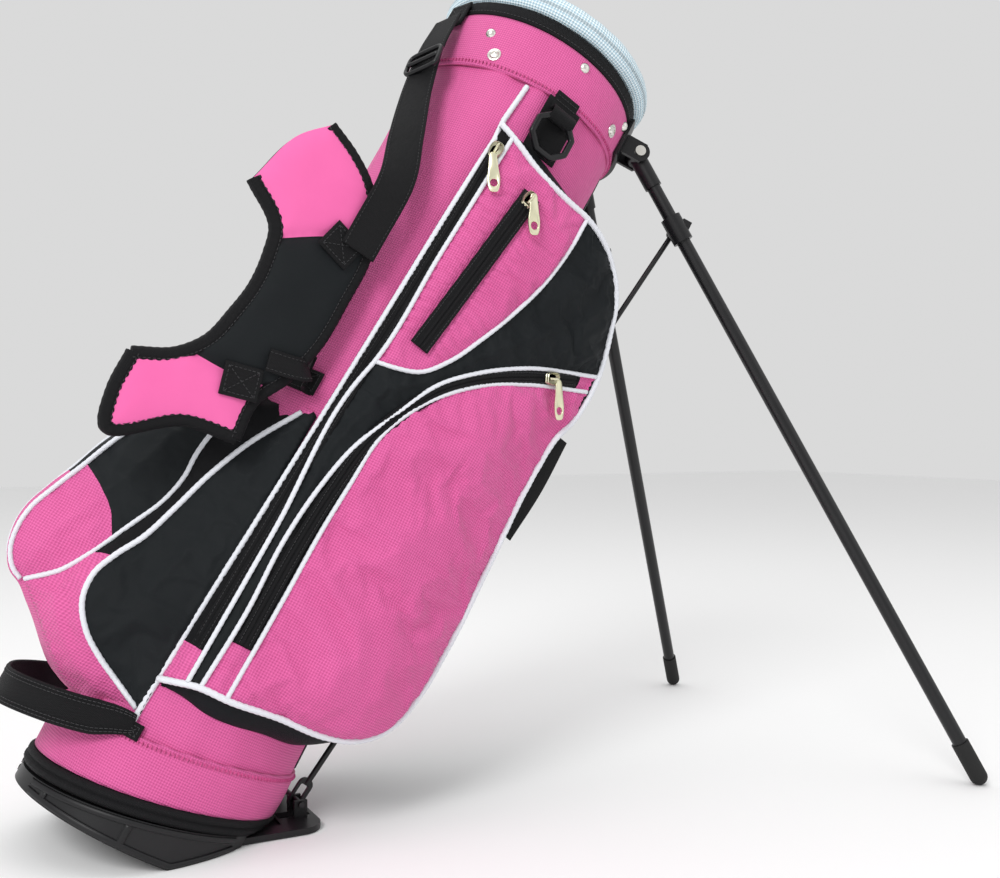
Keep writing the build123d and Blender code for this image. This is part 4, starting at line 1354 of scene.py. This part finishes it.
def pad_bend(flat):
    """The pad's ends lean away from the bag a little."""
    t = np.clip((np.abs(flat[:, 1] - 415) - 60) / 90.0, 0, 1.2)
    return -3.0 * t * t * np.clip((-flat[:, 0] - 100) / 70.0, 0, 1)


BOX_AND_CROSS = ((0, 1), (1, 2), (2, 3), (3, 0), (0, 2), (1, 3))    # corners joined by stitches


def box_stitched_tab(centre, along):
    """Webbing tab sewn down with a box and a cross; centre and along are in side view."""
    length, width = 30.0, 26.0
    along = unit(np.array(along))
    across = np.array([-along[1], along[0]])

    def at(a, b, lift=0.0):
        q = np.array(centre, float) + along * a + across * b
        return np.array([q[0], TAB_V + lift, q[1]])

    line = even(np.array([at(-length / 2, 0), at(length / 2, 0)]), 1.5)
    parts = [loft("tab", line, ACROSS, flat_section(width, 1.6), "webbing")]
    a, b = length / 2 - 3, width / 2 - 3
    corners = [at(x, y, 0.9) for x, y in ((-a, -b), (a, -b), (a, b), (-a, b))]
    for i, j in BOX_AND_CROSS:
        run = np.array([corners[i], corners[j]])
        parts.append(stitches("tab_stitch", run, ACROSS, 2.4, 1.2, 0.32, "thread_black"))
    return parts


def webbing_run(name, points, hints, width):
    """Webbing through points, facing along the hints, with a row of stitches by each edge."""
    thick = 2.0
    line = smooth_line(points, 3.0)
    _, across, normal = frames_along(line, hints)
    parts = [loft(name, line, hints, flat_section(width, thick), "webbing")]
    for off in (-width / 2 + 2.5, width / 2 - 2.5):
        row = line + across * off + normal * (thick / 2)
        parts.append(stitches(name + "_s", row, normal, 2.2, 1.4, 0.25, "thread_black"))
    return join(parts, name)


def strap_webbing():
    """Upper and lower webbing of the shoulder strap."""
    points = [(-107, 23, 731), (-110, 38, 690), (-107, 55, 642), (-101, 80, 590), (-94, 96.5, 548),
              (-93, 97.2, 500), (-93, 97.2, 478)]
    facing = [(-0.95, 0.3, 0), (-0.92, 0.4, 0), (-0.8, 0.6, 0), (-0.55, 0.83, 0), (-0.1, 1, 0), (0, 1, 0)]
    settle(webbing_run("strap_upper_webbing", points, facing, 30), "shoulder_strap", "webbing", "strap_webbing")
    points = [(-112, 96.6, 366), (-96, 96.2, 370), (-84, 93.5, 374), (-78, 88.5, 377)]
    facing = [(0, 1, 0), (0, 1, 0), (-0.4, 0.9, 0)]
    settle(webbing_run("strap_lower_webbing", points, facing, 18), "shoulder_strap", "webbing", "strap_tail")


def triglide():
    """Tri-glide buckle: a rounded frame and the bar that the webbing turns round."""
    high, low = np.array((-112.5, 41, 684.0)), np.array((-111.5, 49.5, 660.0))
    along = unit(low - high)
    across = unit(np.cross(along, np.array([-0.95, 0.3, 0.0])))
    normal = np.cross(across, along)
    middle = (high + low) / 2 + normal * 0.6
    rim = []
    for t in np.linspace(0, 2 * math.pi, 48, endpoint=False):
        x, y = math.cos(t), math.sin(t)
        x = abs(x) ** 0.35 * math.copysign(18.2, x)
        y = abs(y) ** 0.4 * math.copysign(11.5, y)
        rim.append(middle + across * x + along * y)
    rim.append(rim[0])
    section = [(1.9, 0.0), (1.6, 1.5), (0, 2.1), (-1.6, 1.5), (-1.9, 0), (-1.6, -1.5), (0, -1.9), (1.6, -1.5)]
    parts = [loft("glide", rim, normal, section, "gloss", closed_ends=False)]
    bar = np.array([middle - across * 17.5 + normal, middle + across * 17.5 + normal])
    parts.append(loft("glide", even(bar, 3.0), normal, round_section(2.0, 10), "gloss"))
    settle(join(parts, "strap_buckle"), "shoulder_strap", "stay_plastic", "strap_triglide")


strap_pad()
strap_webbing()
triglide()


# ---------------------------------------------------------------- handle, anchors, patches
def carry_handle():
    """Webbing loop, folded narrower where it is sewn down, with two rows of stitches by each edge."""
    half = [(-60, 80.5, 82), (-73, 75.5, 79), (-88, 69, 74), (-108, 62, 70), (-128, 45, 66), (-142, 24, 63),
            (-146, 0, 61.5)]
    line = smooth_line(half + [(x, -y, z) for x, y, z in half[-2::-1]], 2.5)
    tangent = np.gradient(line, axis=0)
    hint = unit(np.stack([tangent[:, 1], -tangent[:, 0], np.zeros(len(line))], -1))
    travel = length_along(line)
    to_end = np.minimum(travel, travel[-1] - travel)
    narrow = 0.55 + 0.45 * np.clip(to_end / 30.0, 0, 1) ** 0.7
    parts = [loft("handle", line, hint, flat_section(26, 2.6), "webbing", scale=narrow)]
    _, across, normal = frames_along(line, hint)
    for off in (-10.5, -8.0, 8.0, 10.5):
        row = line + across * (off * narrow)[:, None] + normal * 1.4
        parts.append(stitches("handle_s", row, normal, 2.6, 1.3, 0.28, "thread_black"))
    settle(join(parts, "carry_handle_loop"), "carry_handle", "webbing", "carry_handle")


def sewn_patch(angle, w, radius, width, height):
    """Webbing patch on the tube with a box and cross of stitches."""
    p, n = tube_point(angle, w, radius)
    line = even(np.array([p - UP * height / 2, p + UP * height / 2]), 2.0)
    parts = [loft("patch", line, n, flat_section(width, 2.2), "webbing")]
    across = np.cross(UP, n)
    a, b = width / 2 - 2.5, height / 2 - 2.5
    corners = [p + across * x + UP * y + n * 1.2 for x, y in ((-a, -b), (a, -b), (a, b), (-a, b))]
    for i, j in BOX_AND_CROSS:
        parts.append(stitches("patch_s", np.array([corners[i], corners[j]]), n, 2.2, 1.2, 0.3, "thread_black"))
    return parts


def anchors():
    parts = sewn_patch(170, 742, CUFF_R + 3.2, 30, 24) + sewn_patch(138, 374, TUBE_R + 2.4, 32, 20)
    link = webbing_run("anchor_link", [(-70, 68, 374), (-74.5, 76, 376), (-76, 84.5, 378)],
                       [(-0.7, 0.7, 0), (-0.9, 0.3, 0), (-1, 0.1, 0)], 28)
    settle(join(parts + [link], "strap_anchor_patches"), "bag", "webbing", "strap_anchors")
    parts = sewn_patch(126, 78, CUFF_R + 1.2, 13, 12) + sewn_patch(-126, 78, CUFF_R + 1.2, 13, 12)
    settle(join(parts, "handle_anchor_patches"), "bag", "webbing", "handle_anchors")


def towel_ring():
    """Eight-sided moulded ring."""
    centre = np.array((2.0, CUFF_R + 7.0, 660.0))
    eighth = math.radians(45.0)
    line = []
    for a in np.linspace(0, 2 * math.pi, 65) + eighth:
        from_side = (a - eighth / 2) % eighth - eighth / 2
        r = 19.6 * math.cos(eighth / 2) / math.cos(from_side) * 0.985 + 0.15
        line.append(centre + np.array([r * math.cos(a), 0, r * math.sin(a)]))
    section = [(2.7, 0.0), (2.4, 1.8), (1.2, 2.7), (-1.2, 2.7), (-2.4, 1.8), (-2.7, 0), (-2.4, -1.8),
               (-1.2, -2.7), (1.2, -2.7), (2.4, -1.8)]
    loop = loft("towel_loop", np.array(line), ACROSS, section, "gloss", closed_ends=False)
    settle(loop, "towel_ring", "stay_plastic", "towel_ring")


def towel_tab():
    """Webbing looped round the towel ring, and the wider patch behind it."""
    y = CUFF_R + 1.4
    loop = [(y, 702), (y, 688), (y + 1.0, 684), (y + 7.6, 684.2), (y + 11.2, 679), (y + 6, 672.5), (y + 1, 674),
            (y - 1.2, 680), (y - 1.2, 690), (y - 1.0, 700)]          # across, along
    line = smooth_line([(2, across, along) for across, along in loop], 1.0)
    tangent = np.gradient(line, axis=0)
    hint = unit(np.stack([np.zeros(len(line)), -tangent[:, 2], tangent[:, 1]], -1))
    tab = loft("towel_tab", line, hint, flat_section(24, 1.5), "webbing")
    back = even(np.array([(2, y - 3.2, 641), (2, y - 2.6, 670), (2, y - 0.4, 694)], float), 3.0)
    parts = [tab, loft("tab_back", back, ACROSS, flat_section(34, 1.4), "webbing")]
    for w in (693, 698):
        row = np.array([(-8, y + 0.8, w), (12, y + 0.8, w)], float)
        parts.append(stitches("tab_s", row, ACROSS, 2.2, 1.2, 0.3, "thread_black"))
    settle(join(parts, "towel_tab_loop"), "bag", "webbing", "towel_tab")


def leg_strap():
    line = smooth_line([(143.5, 84.5, 346), (149.2, 85.5, 396), (150.5, 85.2, 446)], 3.0)
    tape = loft("leg_strap_web", line, np.array([0.2, 1.0, 0]), flat_section(15, 2.2), "webbing")
    settle(tape, "bag", "webbing", "leg_strap")


def turned_caps(name, places, sunk, profile, replaced):
    """Turned metal caps at (angle, along) places on the top cuff."""
    parts = []
    for angle, w in places:
        p, n = tube_point(angle, w, CUFF_R + sunk)
        parts.append(lathe(name, profile, p, n, "nickel", 28))
    settle(join(parts, "cuff_" + name + "s"), "bag", "nickel", replaced)


def cuff_hardware():
    rivet = [(0, -0.6), (4.9, -0.6), (4.9, 0.0), (4.6, 0.7), (4.0, 1.6), (3.0, 2.5), (1.6, 3.05), (0, 3.2)]
    turned_caps("rivet_cap", ((141, 724), (89, 735), (41, 736)), 0.4, rivet, "cuff_rivets")
    eyelet = [(0, -0.6), (6.3, -0.6), (6.3, 0.2), (6.0, 0.8), (5.0, 1.0), (4.2, 0.7), (4.0, 1.2), (3.4, 2.2),
              (1.7, 2.6), (1.5, 1.6), (0, 1.5)]
    turned_caps("eyelet", ((133, 704), (53, 716)), 0.8, eyelet, "cuff_screws")


carry_handle()
anchors()
towel_ring()
towel_tab()
leg_strap()
cuff_hardware()


# ---------------------------------------------------------------- CAD nodes that stay
def dress(name, material):
    """Gives a CAD node that stays visible one of the materials."""
    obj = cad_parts[name]
    obj.data.materials.clear()
    obj.data.materials.append(MATS[material])


CAD_LOOKS = {"base_cup": "base", "lever_pin": "steel", "foot_lever": "base", "lever_bar": "steel",
             "spine_stays": "base", "top_divider": "base", "leg_bracket": "gloss", "pivot_screws": "nickel"}
for node_name, look in CAD_LOOKS.items():
    dress(node_name, look)
for end in ("near", "far"):
    for part, look in (("leg_hub_", "gloss"), ("leg_tube_", "leg"), ("leg_tip_", "rubber"),
                       ("leg_collar_", "gloss"), ("rod_pin_", "steel"), ("push_rod_", "leg")):
        dress(part + end, look)


# ---------------------------------------------------------------- stage, light and camera
def stage():
    """White floor, soft light from all round and three lamps."""
    mesh = bpy.data.meshes.new("studio_floor")
    mesh.from_pydata([(-6, -6, 0), (6, -6, 0), (6, 6, 0), (-6, 6, 0)], [], [(0, 1, 2, 3)])
    floor = bpy.data.objects.new("studio_floor", mesh)
    bpy.context.collection.objects.link(floor)
    mat, _, bsdf = new_material("floor_white")
    bsdf.inputs["Base Color"].default_value = (0.93, 0.93, 0.93, 1)
    bsdf.inputs["Roughness"].default_value = 0.8
    mesh.materials.append(mat)
    world = bpy.data.worlds.new("studio")
    world.use_nodes = True
    world.node_tree.nodes["Background"].inputs[0].default_value = (1, 1, 1, 1)
    world.node_tree.nodes["Background"].inputs[1].default_value = 0.70
    bpy.context.scene.world = world
    bpy.context.scene.view_settings.view_transform = "Standard"
    for name, place, aim, size, power in (
            ("key", (-1.5, -1.5, 2.0), (0.1, 0, 0.4), 1.0, 40.0),
            ("fill", (1.9, -1.9, 1.3), (0.2, 0, 0.4), 2.2, 6.0),
            ("top", (0.2, 0.3, 2.8), (0.2, 0, 0.3), 2.4, 16.0)):
        light = bpy.data.lights.new(name, "AREA")
        light.energy = power
        light.size = size
        obj = bpy.data.objects.new(name, light)
        obj.location = place
        obj.rotation_euler = (Vector(aim) - Vector(place)).to_track_quat("-Z", "Y").to_euler()
        bpy.context.collection.objects.link(obj)


def camera():
    """Camera at the photograph's viewing angle."""
    yaw, pitch = math.radians(27.7), math.radians(-0.5)
    data = bpy.data.cameras.new("camera")
    data.lens = 41.58
    data.sensor_width = 36.0
    data.sensor_fit = "HORIZONTAL"
    data.clip_start = 0.05
    cam = bpy.data.objects.new("camera", data)
    fwd = Vector((math.sin(yaw) * math.cos(pitch), math.cos(yaw) * math.cos(pitch), math.sin(pitch)))
    cam.location = (-0.188, -0.962, 0.325)
    right = Vector((math.cos(yaw), -math.sin(yaw), 0))
    up = right.cross(fwd)
    cam.rotation_euler = Matrix((right, up, -fwd)).transposed().to_euler()
    bpy.context.collection.objects.link(cam)
    bpy.context.scene.camera = cam


stage()
camera()
